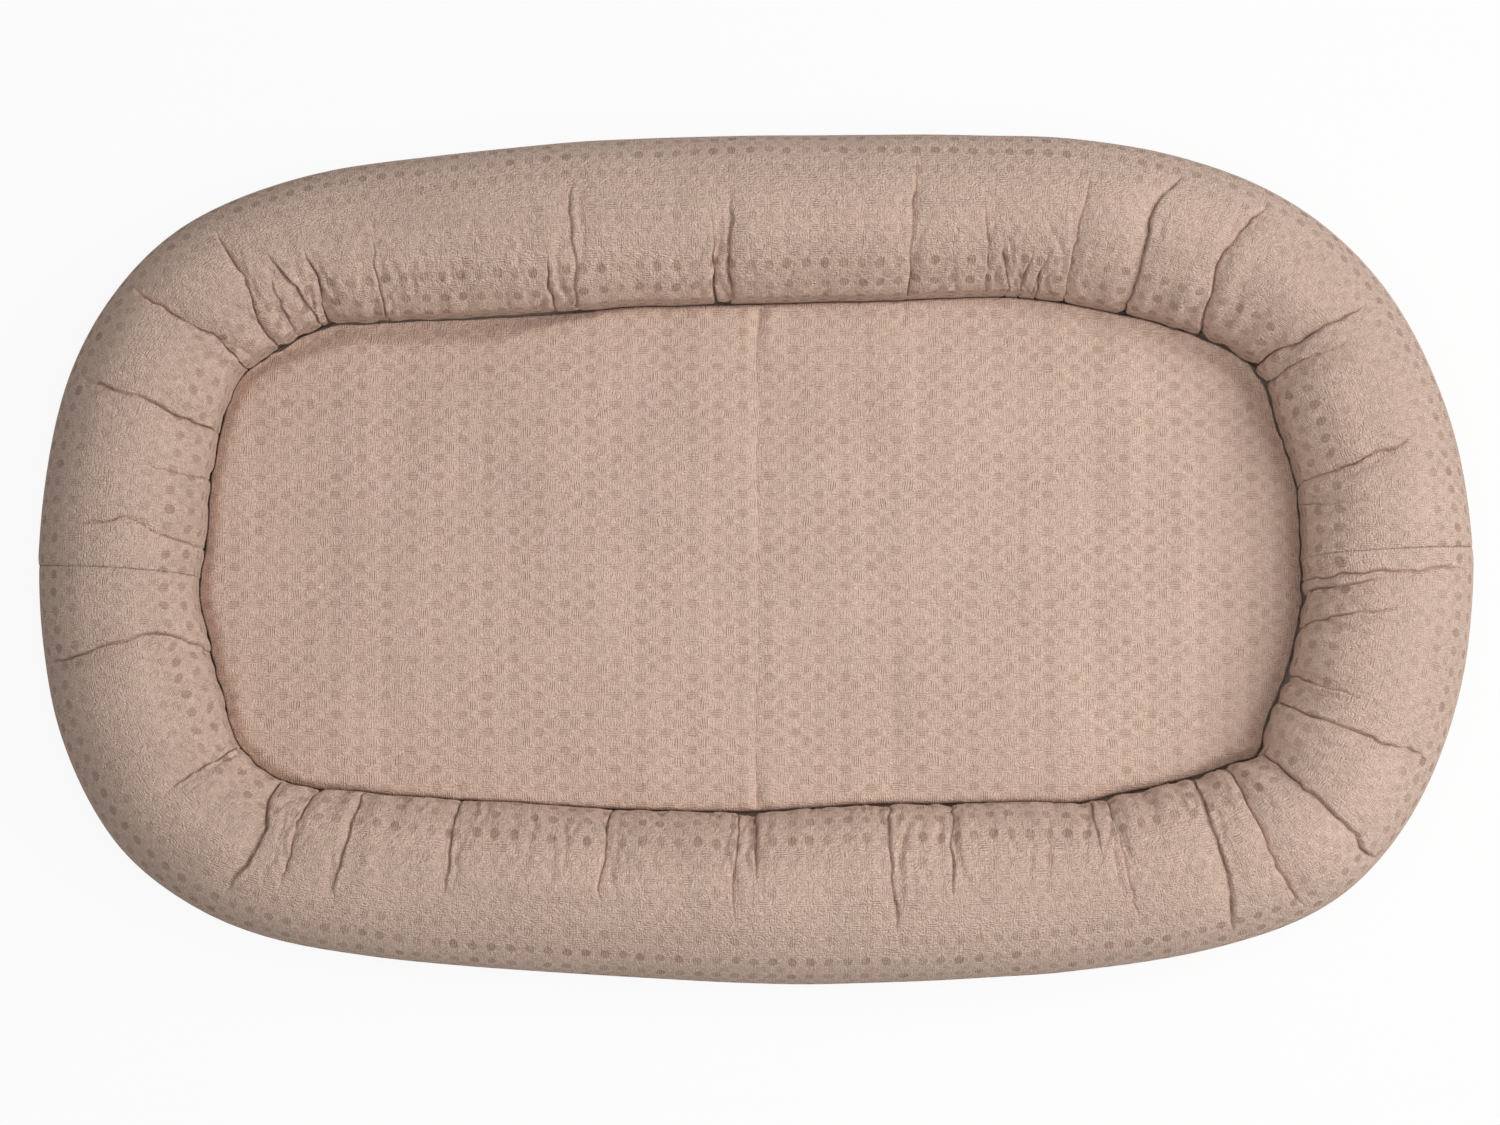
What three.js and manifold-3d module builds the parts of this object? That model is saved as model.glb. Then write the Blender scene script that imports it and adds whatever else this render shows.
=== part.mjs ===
// An infant lounger: a stuffed oval ring round a base of fabric, with a loose mattress inside the ring.
// Units are millimetres. +X runs towards the head end, +Y to the back long side, +Z up, and the floor is z = 0.
import * as THREE from "three";
import { mergeVertices } from "three/addons/utils/BufferGeometryUtils.js";
import Module from "manifold-3d";

const wasm = await Module();
wasm.setup();

// Sizes of the whole lounger
const loungerLength = 850;
const loungerWidth = 500;
const ringWidth = 98;
const ringHeight = 95;

// Plan of the ring: a superellipse, fuller along its length than across it
const planFullnessAlong = 4.5;
const planFullnessAcross = 2.4;
const bendNarrowingShare = 0.07;

// Ring: two gathered cover halves round a roll of fibre in its own casing
const coverFabric = 1.5;
const footFlattening = 5;
const gatherDepth = 7;
const gathersPerSide = 16;
const stepsPerGather = 3;
const gatherStartAngle = 75;
const casingFabric = 0.8;
const rollClearance = 0.9;

// Base: two underside panels, a thin wadding and a floor panel, bound together into the ring's seam
const baseHeight = 5;
const panelFabric = 1.2;
const waddingThickness = 4;
const seamSetback = 6;
const bindingGap = 0.3;

// Mattress: a foam core in a cover with a crowned top and an envelope opening underneath
const mattressClearance = 1.5;
const mattressFabric = 1.2;
const mattressSeamRise = 10;
const shoulderRise = 11;
const edgeRounding = 14;
const crownRise = 6;
const crownReach = 60;
const envelopeOverlap = 90;
const coreEdgeGap = 3;

// Zip in the underside
const zipEndMargin = 83;
const tapeWidth = 14;
const tapeThickness = 0.6;
const coilWidth = 1.8;
const coilThickness = 2;
const coilSlit = 1.2;
const slotWidth = 12;
const sliderLength = 12;
const sliderWidth = 9;
const sliderPlate = 1;
const sliderPost = 0.7;
const sliderPostLength = 3;
const lugLength = 4.4;
const lugWidth = 2;
const lugHeight = 3.2;
const lugWindow = 1.9;
const lugRim = 0.7;
const pullLength = 26;
const pullWidth = 6;
const pullThickness = 1;
const stopLength = 5;
const stopWidth = 8;
const stopThickness = 1.2;

// Care label, left blank
const labelLength = 40;
const labelWidth = 30;
const labelThickness = 0.4;
const labelPlaceShare = 0.55;

// Small gap that sewn or resting pieces keep
const seatGap = 0.3;
const cutOverrun = 20;

const colours = {
  cotton: new THREE.MeshStandardMaterial({ color: 0xc7a796, roughness: 0.92, metalness: 0 }),
  lining: new THREE.MeshStandardMaterial({ color: 0xd9c4b6, roughness: 0.95, metalness: 0 }),
  nonwoven: new THREE.MeshStandardMaterial({ color: 0xf1efe9, roughness: 0.95, metalness: 0 }),
  fibre: new THREE.MeshStandardMaterial({ color: 0xfafaf7, roughness: 1, metalness: 0 }),
  foam: new THREE.MeshStandardMaterial({ color: 0xf2ead0, roughness: 0.95, metalness: 0 }),
  tape: new THREE.MeshStandardMaterial({ color: 0xb99a89, roughness: 0.9, metalness: 0 }),
  coil: new THREE.MeshStandardMaterial({ color: 0xc0a290, roughness: 0.45, metalness: 0 }),
  metal: new THREE.MeshStandardMaterial({ color: 0xb9b5ae, roughness: 0.35, metalness: 1 }),
  label: new THREE.MeshStandardMaterial({ color: 0xf7f5f0, roughness: 0.8, metalness: 0 }),
};

// Plan of the ring's centreline. One quarter is walked in equal steps and mirrored into the other three.
const ringHalfLength = (loungerLength - ringWidth) / 2;
const ringHalfWidth = (loungerWidth - ringWidth) / 2;
const quarterSteps = 600;
const walkSteps = 20000;

function superellipsePoint(angle) {
  return new THREE.Vector2(
    ringHalfLength * Math.cos(angle) ** (2 / planFullnessAlong),
    ringHalfWidth * Math.sin(angle) ** (2 / planFullnessAcross),
  );
}

function outwardNormal(point) {
  const along = (point.x / ringHalfLength) ** (planFullnessAlong - 1);
  const across = (point.y / ringHalfWidth) ** (planFullnessAcross - 1);
  return new THREE.Vector2(
    (planFullnessAlong / ringHalfLength) * along,
    (planFullnessAcross / ringHalfWidth) * across,
  ).normalize();
}

function walkQuarter() {
  const dense = [];
  for (let i = 0; i <= walkSteps; i++) {
    const share = i / walkSteps;
    const eased = share - Math.sin(2 * Math.PI * share) / (2 * Math.PI);
    dense.push(superellipsePoint(Math.min(eased, 1) * (Math.PI / 2)));
  }
  dense[walkSteps].x = 0;
  const lengths = [0];
  for (let i = 1; i <= walkSteps; i++) lengths.push(lengths[i - 1] + dense[i].distanceTo(dense[i - 1]));
  const total = lengths[walkSteps];
  const points = [];
  let k = 0;
  for (let i = 0; i <= quarterSteps; i++) {
    const wanted = (total * i) / quarterSteps;
    while (k < walkSteps - 1 && lengths[k + 1] < wanted) k++;
    const span = lengths[k + 1] - lengths[k];
    const part = span > 0 ? (wanted - lengths[k]) / span : 0;
    const position = dense[k].clone().lerp(dense[k + 1], Math.min(part, 1));
    points.push({ position, normal: outwardNormal(position), bend: 0 });
  }
  return { points, total };
}

const { points: quarter, total: quarterLength } = walkQuarter();
const ringPerimeter = 4 * quarterLength;
const turn = (i) => {
  const low = quarter[Math.max(i - 1, 0)].normal;
  const high = quarter[Math.min(i + 1, quarterSteps)].normal;
  return low.distanceTo(high);
};
const sharpestTurn = Math.max(...quarter.slice(1, -1).map((_, i) => turn(i + 1)));
quarter.forEach((point, i) => (point.bend = THREE.MathUtils.smoothstep(turn(i) / sharpestTurn, 0, 1)));

// A place on the centreline, its outward direction and how sharply it bends; share 0 is the head end.
function ringPlace(share) {
  const wrapped = (((share % 1) + 1) % 1) * 4;
  const quadrant = Math.floor(wrapped) % 4;
  const part = wrapped - Math.floor(wrapped);
  const along = (quadrant % 2 ? 1 - part : part) * quarterSteps;
  const i = Math.min(Math.floor(along), quarterSteps - 1);
  const f = along - i;
  const position = quarter[i].position.clone().lerp(quarter[i + 1].position, f);
  const normal = quarter[i].normal.clone().lerp(quarter[i + 1].normal, f).normalize();
  const bend = quarter[i].bend * (1 - f) + quarter[i + 1].bend * f;
  const signX = quadrant === 1 || quadrant === 2 ? -1 : 1;
  const signY = quadrant >= 2 ? -1 : 1;
  return {
    x: position.x * signX,
    y: position.y * signY,
    normalX: normal.x * signX,
    normalY: normal.y * signY,
    halfWidth: (ringWidth / 2) * (1 - bendNarrowingShare * bend),
    bend,
  };
}

function placed(place, out, z) {
  return new THREE.Vector3(place.x + place.normalX * out, place.y + place.normalY * out, z);
}

// Cross-section of the ring: an ellipse that its own weight presses flat at the foot
const sectionHalfHeight = (ringHeight + footFlattening) / 2;
const sectionCentre = ringHeight - sectionHalfHeight;
const footAngle = 180 + THREE.MathUtils.radToDeg(Math.asin(sectionCentre / sectionHalfHeight));
const lowerStepShares = [0.4, 0.75];
const sectionAngles = [
  0, 30, 60, 90, 120, 150, 180,
  ...lowerStepShares.map((share) => 180 + (footAngle - 180) * share),
  footAngle,
  540 - footAngle,
  540 - (180 + (footAngle - 180) * lowerStepShares[0]),
];

function gatherWeight(angle) {
  if (angle <= gatherStartAngle || angle >= footAngle) return 0;
  return Math.sin((Math.PI * (angle - gatherStartAngle)) / (footAngle - gatherStartAngle)) ** 2;
}

// One closed outline of the ring's wall. inset is how far inside the cover's face it lies all round, lift how
// far above the floor its foot is, and pinch (0 to 1) how deep in a gather the place is.
function ringSection(place, inset, lift, pinch) {
  return sectionAngles.map((angle) => {
    const pulled = inset + pinch * gatherDepth * gatherWeight(angle);
    const radians = THREE.MathUtils.degToRad(angle);
    const out = (place.halfWidth - pulled) * Math.cos(radians);
    const z = sectionCentre + (sectionHalfHeight - pulled) * Math.sin(radians);
    return placed(place, out, Math.max(z, lift));
  });
}

// How far inside the centreline the ungathered wall is at a height, at a place
function innerWallReach(place, height) {
  const points = sectionAngles
    .filter((angle) => angle >= 180 && angle <= footAngle)
    .map((angle) => THREE.MathUtils.degToRad(angle))
    .map((angle) => ({
      out: -place.halfWidth * Math.cos(angle),
      z: Math.max(sectionCentre + sectionHalfHeight * Math.sin(angle), 0),
    }));
  for (let i = 1; i < points.length; i++) {
    const above = points[i - 1];
    const below = points[i];
    if (height <= above.z && height >= below.z) {
      const part = (height - below.z) / (above.z - below.z);
      return below.out + (above.out - below.out) * part;
    }
  }
  return points[0].out;
}

// A closed body through rings of equally many points. An open run gets flat caps; a closed one meets its start.
function loft(rings, closed) {
  const count = rings[0].length;
  const positions = rings.flat().flatMap((p) => [p.x, p.y, p.z]);
  let faces = [];
  const spans = closed ? rings.length : rings.length - 1;
  for (let r = 0; r < spans; r++) {
    const here = r * count;
    const next = ((r + 1) % rings.length) * count;
    for (let i = 0; i < count; i++) {
      const j = (i + 1) % count;
      faces.push([here + i, here + j, next + j], [here + i, next + j, next + i]);
    }
  }
  if (!closed) {
    faces.push(...capFaces(rings[0], 0, true), ...capFaces(rings.at(-1), (rings.length - 1) * count, false));
  }
  if (signedVolume(positions, faces) < 0) faces = faces.map(([a, b, c]) => [a, c, b]);
  const geometry = new THREE.BufferGeometry();
  geometry.setAttribute("position", new THREE.Float32BufferAttribute(positions, 3));
  geometry.setIndex(faces.flat());
  geometry.computeVertexNormals();
  return geometry;
}

// Triangles over a flat ring of points, wound against or along the ring
const lyingShare = 0.1;

function capFaces(ring, start, against) {
  const centre = ring.reduce((sum, p) => sum.add(p), new THREE.Vector3()).divideScalar(ring.length);
  const spread = (axis) => Math.max(...ring.map((p) => Math.abs(p[axis] - centre[axis])));
  const lying = spread("z") < Math.max(spread("x"), spread("y")) * lyingShare;
  const side = ring[0].clone().sub(centre).setZ(0).normalize();
  const flat = ring.map((p) =>
    lying
      ? new THREE.Vector2(p.x, p.y)
      : new THREE.Vector2(p.clone().sub(centre).dot(side), p.z),
  );
  const wound = THREE.ShapeUtils.area(flat) > 0;
  return THREE.ShapeUtils.triangulateShape(flat, []).map(([a, b, c]) => {
    const keep = wound === !against;
    return keep ? [start + a, start + b, start + c] : [start + a, start + c, start + b];
  });
}

function signedVolume(positions, faces) {
  const corner = (i) => new THREE.Vector3(positions[3 * i], positions[3 * i + 1], positions[3 * i + 2]);
  return faces.reduce((sum, [a, b, c]) => sum + corner(a).dot(corner(b).cross(corner(c))), 0);
}

function solidOf(geometry) {
  const bare = geometry.clone();
  bare.deleteAttribute("normal");
  bare.deleteAttribute("uv");
  const merged = mergeVertices(bare);
  return new wasm.Manifold(
    new wasm.Mesh({
      numProp: 3,
      vertProperties: merged.attributes.position.array,
      triVerts: new Uint32Array(merged.index.array),
    }),
  );
}

function geometryOf(solid) {
  const mesh = solid.getMesh();
  const geometry = new THREE.BufferGeometry();
  geometry.setAttribute("position", new THREE.BufferAttribute(new Float32Array(mesh.vertProperties), 3));
  geometry.setIndex(new THREE.BufferAttribute(new Uint32Array(mesh.triVerts), 1));
  geometry.computeVertexNormals();
  return geometry;
}

function box(lengthX, widthY, heightZ, x, y, z) {
  return new THREE.BoxGeometry(lengthX, widthY, heightZ).translate(x, y, z);
}

function named(name, geometry, material) {
  const mesh = new THREE.Mesh(geometry, material);
  mesh.name = name;
  return mesh;
}

// Stations along one half of the ring, and thinner sets round all of it that are denser in the bends
const sideSteps = gathersPerSide * stepsPerGather;
const bendThresholdShare = 0.28;
const baseBendStride = 2;

function thinnedShares(bendStride) {
  const steps = 2 * sideSteps;
  const kept = [];
  for (let i = 0; i < steps; i++) {
    const share = 0.5 + i / steps;
    const inBend = i % bendStride === 0 && ringPlace(share).bend > bendThresholdShare;
    if (i % stepsPerGather === 0 || inBend) kept.push(share);
  }
  return kept;
}

const rollShares = thinnedShares(1);
const baseShares = thinnedShares(baseBendStride);

// Cover half: a tube of gathered cotton, open at the two cross seams where it meets the other half
function coverHalf(startShare) {
  const inset = seatGap / 2 / ringPerimeter;
  const places = [];
  for (let i = 0; i <= sideSteps; i++) {
    const share = startShare + inset + ((0.5 - 2 * inset) * i) / sideSteps;
    places.push({ place: ringPlace(share), pinch: i % stepsPerGather === 0 ? 1 : 0 });
  }
  const face = places.map(({ place, pinch }) => ringSection(place, 0, 0, pinch));
  const lining = places.map(({ place }) => ringSection(place, coverFabric, coverFabric, 1));
  return loft([...face, ...lining.reverse()], true);
}

// The roll's two ends meet at the foot end, so its casing is a tube open there
function rollPlaces() {
  const inset = seatGap / ringPerimeter;
  return [0.5 + inset, ...rollShares.slice(1), 1.5 - inset].map(ringPlace);
}

function rollSections(depth) {
  const inset = coverFabric + rollClearance + depth;
  return rollPlaces().map((place) => ringSection(place, inset, coverFabric + seatGap + depth, 1));
}

function fillingCasing() {
  return loft([...rollSections(0), ...rollSections(casingFabric).reverse()], true);
}

function fibreFilling() {
  return loft(rollSections(casingFabric + seatGap), false);
}

// The base's edge lies this far inside the ring's centreline, a little short of the ring's inner side
const seamReach = ringWidth / 2 - seamSetback;

// The zip runs along the middle of the base and stops short of its two ends
const zipLength = 2 * (ringHalfLength - seamReach - zipEndMargin);

// Heights in the base, from the underside up
const undersideTop = baseHeight + panelFabric;
const tapeHeight = undersideTop + seatGap + tapeThickness / 2;
const coilTop = tapeHeight + coilThickness / 2;
const sliderTop = coilTop + seatGap + sliderPlate;
const waddingBottom = sliderTop + seatGap;
const floorPanelBottom = waddingBottom + waddingThickness + seatGap;
const floorPanelTop = floorPanelBottom + panelFabric;
const mattressBottom = floorPanelTop + seatGap;

function planPoints(reachOf) {
  return baseShares.map((share) => {
    const place = ringPlace(share);
    const point = placed(place, -reachOf(place), 0);
    return new THREE.Vector2(point.x, point.y);
  });
}

function seamReachAt(place) {
  return (seamReach * place.halfWidth) / (ringWidth / 2);
}

function slab(points, bottom, thickness) {
  const options = { depth: thickness, bevelEnabled: false };
  return new THREE.ExtrudeGeometry(new THREE.Shape(points), options).translate(0, 0, bottom);
}

// Bound seam: the gathered edge of the ring's cover and the edges of the base, rolled into a tape
function seamBinding() {
  const kinkAngle = THREE.MathUtils.degToRad(180 + (footAngle - 180) * lowerStepShares[1]);
  const heights = [baseHeight, sectionCentre + sectionHalfHeight * Math.sin(kinkAngle), floorPanelTop];
  const rings = baseShares.map((share) => {
    const place = ringPlace(share);
    const inner = -(seamReachAt(place) - bindingGap);
    const wall = heights.map((z) => placed(place, -(innerWallReach(place, z) + bindingGap + seatGap), z));
    return [...wall, placed(place, inner, floorPanelTop), placed(place, inner, baseHeight)];
  });
  return loft(rings, true);
}

// Underside panel: half of the base, with a recess along the zip
function undersidePanel(side) {
  const whole = solidOf(slab(planPoints(seamReachAt), baseHeight, panelFabric));
  const half = box(
    loungerLength, loungerWidth / 2, panelFabric + 2 * cutOverrun,
    0, (side * (loungerWidth / 2 + seatGap)) / 2, baseHeight,
  );
  const slot = box(zipLength + 2 * stopLength, slotWidth, panelFabric + 2 * cutOverrun, 0, 0, baseHeight);
  return geometryOf(whole.intersect(solidOf(half)).subtract(solidOf(slot)));
}

function zipTape(side) {
  const nearEdge = coilSlit / 2 + coilWidth + seatGap;
  const length = zipLength + 2 * (stopLength + tapeWidth);
  return box(length, tapeWidth, tapeThickness, 0, side * (nearEdge + tapeWidth / 2), tapeHeight);
}

function zipCoil(side) {
  return box(zipLength, coilWidth, coilThickness, 0, side * (coilSlit / 2 + coilWidth / 2), tapeHeight);
}

function zipStop(end) {
  const z = tapeHeight + tapeThickness / 2 + seatGap + stopThickness / 2;
  return box(stopLength, stopWidth, stopThickness, end * (zipLength / 2 + seatGap + stopLength / 2), 0, z);
}

// Slider: two plates joined by a narrow post that runs in the slit, flanges round the coils and a lug below
const sliderRestX = -(zipLength / 2 - sliderLength / 2 - seatGap);
const lowerPlateTop = tapeHeight - coilThickness / 2 - seatGap;
const lowerPlateBottom = lowerPlateTop - sliderPlate;
const pullAxisHeight = lowerPlateBottom - lugHeight + lugRim + lugWindow / 2;

function sliderOutline() {
  const half = sliderWidth / 2;
  const nose = sliderLength / 2;
  const taper = sliderLength / 4;
  const waist = half - sliderPlate;
  const shape = new THREE.Shape();
  shape.moveTo(-nose, -waist);
  shape.lineTo(-nose + taper, -half);
  shape.lineTo(nose - taper, -half);
  shape.lineTo(nose, -waist);
  shape.lineTo(nose, waist);
  shape.lineTo(nose - taper, half);
  shape.lineTo(-nose + taper, half);
  shape.lineTo(-nose, waist);
  shape.closePath();
  return shape;
}

function zipSlider() {
  const plateOptions = { depth: sliderPlate, bevelEnabled: false };
  const plate = (bottom) =>
    solidOf(new THREE.ExtrudeGeometry(sliderOutline(), plateOptions).translate(0, 0, bottom));
  const span = sliderTop - lowerPlateBottom;
  const post = box(
    sliderPostLength, sliderPost, span,
    sliderLength / 2 - sliderPostLength / 2, 0, lowerPlateBottom + span / 2,
  );
  let body = plate(lowerPlateBottom).add(plate(sliderTop - sliderPlate)).add(solidOf(post));
  const coilEdge = coilSlit / 2 + coilWidth + seatGap;
  const flangeWidth = sliderWidth / 2 - coilEdge;
  const tapeRoom = tapeThickness + 2 * seatGap;
  const flangeRise = (span - tapeRoom) / 2;
  for (const side of [-1, 1]) {
    const y = side * (coilEdge + flangeWidth / 2);
    const length = sliderLength / 2;
    const lower = box(length, flangeWidth, flangeRise, 0, y, lowerPlateBottom + flangeRise / 2);
    const upper = box(length, flangeWidth, flangeRise, 0, y, sliderTop - flangeRise / 2);
    body = body.add(solidOf(lower)).add(solidOf(upper));
  }
  const lugMiddle = lowerPlateBottom - lugHeight / 2;
  const lug = solidOf(box(lugLength, lugWidth, lugHeight + sliderPlate, 0, 0, lugMiddle + sliderPlate / 2));
  const window = solidOf(box(lugWindow, lugWidth + 2 * cutOverrun, lugWindow, 0, 0, pullAxisHeight));
  return geometryOf(body.add(lug).subtract(window)).translate(sliderRestX, 0, 0);
}

// Pull tab: a flat tab whose end bar passes through the slider's lug
function pullTab() {
  const half = pullWidth / 2;
  const bar = pullThickness / 2;
  const window = Math.hypot(lugLength / 2, pullAxisHeight - (lowerPlateBottom - lugHeight)) + seatGap;
  const shape = new THREE.Shape();
  shape.moveTo(-bar, -half);
  shape.lineTo(pullLength - half, -half);
  shape.absarc(pullLength - half, 0, half, -Math.PI / 2, Math.PI / 2, false);
  shape.lineTo(-bar, half);
  shape.closePath();
  const hole = new THREE.Path();
  const armInside = lugWidth / 2 + seatGap;
  hole.moveTo(bar, -armInside);
  hole.lineTo(bar, armInside);
  hole.lineTo(window, armInside);
  hole.lineTo(window, -armInside);
  hole.closePath();
  shape.holes.push(hole);
  const options = { depth: pullThickness, bevelEnabled: false, curveSegments: 8 };
  const bottom = pullAxisHeight - pullThickness / 2;
  return new THREE.ExtrudeGeometry(shape, options).translate(sliderRestX, 0, bottom);
}

function careLabel() {
  const y = -(labelPlaceShare * ringHalfWidth);
  return box(labelLength, labelWidth, labelThickness, 0, y, baseHeight - seatGap - labelThickness / 2);
}

// Mattress. Its cover's profile runs from the edge seam up over a rounded shoulder to a gently crowned top.
const mattressSeamHeight = mattressBottom + mattressSeamRise;
const shoulderAngles = [0, 30, 60];
const crownShares = [0, 0.3, 1];

function mattressRing(edgeInset, height) {
  return planPoints((place) => place.halfWidth + mattressClearance + edgeInset).map(
    (point) => new THREE.Vector3(point.x, point.y, height),
  );
}

function shoulderRings(depth, edge, rise, direction) {
  return shoulderAngles.map((angle) => {
    const radians = THREE.MathUtils.degToRad(angle);
    const inset = edge + (edgeRounding - depth) * (1 - Math.cos(radians));
    const height = mattressSeamHeight + direction * (rise - depth) * Math.sin(radians);
    return mattressRing(inset, height);
  });
}

// The crown's outlines shrink towards the middle, by crownReach at the middle of the long sides
function crownRings(depth) {
  const halfWidth = ringHalfWidth - ringWidth / 2 - mattressClearance - edgeRounding;
  return crownShares.map((share) => {
    const rise = crownRise * Math.sin((share * Math.PI) / 2);
    const height = mattressSeamHeight + shoulderRise - depth + rise;
    const shrink = halfWidth / (halfWidth + crownReach * share);
    return mattressRing(edgeRounding, height).map((p) => new THREE.Vector3(p.x * shrink, p.y * shrink, p.z));
  });
}

function mattressTop() {
  const outside = [...shoulderRings(0, 0, shoulderRise, 1), ...crownRings(0)];
  const lining = [
    ...shoulderRings(mattressFabric, mattressFabric, shoulderRise, 1),
    ...crownRings(mattressFabric),
  ];
  return loft([...outside.reverse(), ...lining], false);
}

// A bottom flap is half of a shallow tray; the head flap lies inside the foot flap where they overlap
function mattressFlap(depth, side) {
  const rise = mattressSeamRise - seatGap - depth;
  const lower = (inset) =>
    shoulderRings(inset, depth + inset, mattressSeamRise - depth, -1).map((ring, i) =>
      i === 0 ? ring.map((p) => p.clone().setZ(mattressSeamHeight - seatGap)) : ring,
    );
  const floor = (inset) => mattressRing(depth + edgeRounding, mattressSeamHeight - seatGap - rise + inset);
  const outside = [...lower(0), floor(0)];
  const lining = [...lower(mattressFabric), floor(mattressFabric)];
  const tray = solidOf(loft([...outside.reverse(), ...lining], false));
  const reach = loungerLength / 2;
  const keep = box(
    reach + envelopeOverlap / 2, loungerWidth, ringHeight,
    side * (reach / 2 - envelopeOverlap / 4), 0, mattressSeamHeight - ringHeight / 2,
  );
  return geometryOf(tray.intersect(solidOf(keep)));
}

function mattressCore() {
  const flapsDepth = 2 * (mattressFabric + seatGap);
  const edge = flapsDepth + coreEdgeGap;
  const topDepth = mattressFabric + seatGap;
  const upper = [
    ...shoulderRings(topDepth, edge, shoulderRise, 1),
    ...crownRings(topDepth),
  ];
  const bottom = mattressBottom + flapsDepth;
  const lower = [mattressRing(edgeRounding, bottom), mattressRing(edge, mattressSeamHeight - seatGap)];
  return loft([...lower, ...upper], false);
}

const lounger = new THREE.Group();
lounger.add(
  named("ring_cover_back", coverHalf(0), colours.cotton),
  named("ring_cover_front", coverHalf(0.5), colours.cotton),
  named("ring_filling_casing", fillingCasing(), colours.nonwoven),
  named("ring_fibre_filling", fibreFilling(), colours.fibre),
  named("ring_seam_binding", seamBinding(), colours.tape),
  named("underside_panel_back", undersidePanel(1), colours.lining),
  named("underside_panel_front", undersidePanel(-1), colours.lining),
  named("base_wadding", slab(planPoints(seamReachAt), waddingBottom, waddingThickness), colours.fibre),
  named("base_floor_panel", slab(planPoints(seamReachAt), floorPanelBottom, panelFabric), colours.lining),
  named("zip_tape_back", zipTape(1), colours.tape),
  named("zip_tape_front", zipTape(-1), colours.tape),
  named("zip_coil_back", zipCoil(1), colours.coil),
  named("zip_coil_front", zipCoil(-1), colours.coil),
  named("zip_stop_foot", zipStop(-1), colours.metal),
  named("zip_stop_head", zipStop(1), colours.metal),
  named("zip_slider", zipSlider(), colours.metal),
  named("zip_pull_tab", pullTab(), colours.metal),
  named("care_label", careLabel(), colours.label),
  named("mattress_cover_top", mattressTop(), colours.cotton),
  named("mattress_flap_foot", mattressFlap(0, -1), colours.cotton),
  named("mattress_flap_head", mattressFlap(mattressFabric + seatGap, 1), colours.cotton),
  named("mattress_core", mattressCore(), colours.foam),
);

export default lounger;
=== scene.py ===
# An infant lounger on a pale floor, seen from above: a gathered, stuffed ring of soft dobby-woven cotton
# round a loose mattress in the same cloth, on a zipped fabric base.
import math
from functools import partial

import bmesh
import bpy
import numpy as np
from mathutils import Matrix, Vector


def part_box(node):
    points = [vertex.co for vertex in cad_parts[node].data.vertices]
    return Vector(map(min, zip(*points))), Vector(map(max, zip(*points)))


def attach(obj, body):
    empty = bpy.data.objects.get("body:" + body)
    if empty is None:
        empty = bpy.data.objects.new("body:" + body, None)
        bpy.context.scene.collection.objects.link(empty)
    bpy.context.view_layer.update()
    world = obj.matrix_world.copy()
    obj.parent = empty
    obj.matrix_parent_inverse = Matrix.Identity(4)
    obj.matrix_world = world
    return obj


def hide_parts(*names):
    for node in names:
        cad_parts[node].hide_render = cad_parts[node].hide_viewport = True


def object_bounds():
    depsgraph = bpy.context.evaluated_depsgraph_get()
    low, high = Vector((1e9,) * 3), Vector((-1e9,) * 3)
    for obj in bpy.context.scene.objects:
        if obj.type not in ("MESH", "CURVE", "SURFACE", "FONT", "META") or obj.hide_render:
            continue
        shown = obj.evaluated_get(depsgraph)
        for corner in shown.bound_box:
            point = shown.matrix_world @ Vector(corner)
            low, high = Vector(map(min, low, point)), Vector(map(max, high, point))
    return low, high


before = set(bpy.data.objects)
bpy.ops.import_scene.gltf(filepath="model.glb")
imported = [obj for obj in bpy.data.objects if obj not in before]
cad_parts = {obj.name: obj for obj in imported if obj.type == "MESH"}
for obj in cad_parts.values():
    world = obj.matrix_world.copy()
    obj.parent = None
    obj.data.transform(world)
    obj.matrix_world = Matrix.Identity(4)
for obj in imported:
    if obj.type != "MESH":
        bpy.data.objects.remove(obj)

cad_low, cad_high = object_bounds()
mm = 0.001


# Ring cover
# A tube of soft double-woven dobby cotton, stuffed with fibre until it is round. It is sewn in two halves
# that meet in a cross seam at each end, and its inner edge is gathered into the seam round the base.
ring_width = 98 * mm
ring_height = cad_high.z
foot_flattening = 5 * mm
section_half_height = (ring_height + foot_flattening) / 2
section_centre = ring_height - section_half_height
plan_half = (np.array([cad_high.x - cad_low.x, cad_high.y - cad_low.y]) - ring_width) / 2
plan_fullness = np.array([4.5, 2.4])
bend_narrowing_share = 0.07


def smooth_step(low, high, value):
    t = np.clip((value - low) / (high - low), 0, 1)
    return t * t * (3 - 2 * t)


# The ring's centreline is a superellipse, walked from the head end round the back to the foot end and on
def walk_centreline(samples=6000):
    share = np.linspace(0, 1, samples)
    angle = (share - np.sin(2 * math.pi * share) / (2 * math.pi)) * math.pi / 2
    sweep = np.stack([np.cos(angle), np.sin(angle)], axis=1)
    quarter = plan_half * np.clip(sweep, 0, 1) ** (2 / plan_fullness)
    back = np.concatenate([quarter, quarter[::-1][1:] * (-1, 1)])
    points = np.concatenate([back, back[::-1][1:] * (1, -1)])
    slope = (np.abs(points) / plan_half) ** (plan_fullness - 1) * np.sign(points)
    normals = slope * plan_fullness / plan_half
    normals /= np.linalg.norm(normals, axis=1)[:, None]
    steps = np.linalg.norm(np.diff(points, axis=0), axis=1)
    return points, normals, np.concatenate([[0], np.cumsum(steps)])


walk_points, walk_normals, walk_run = walk_centreline()
ring_run = walk_run[-1]


def at_run(values, run):
    return np.interp(np.mod(run, ring_run), walk_run, values)


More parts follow.
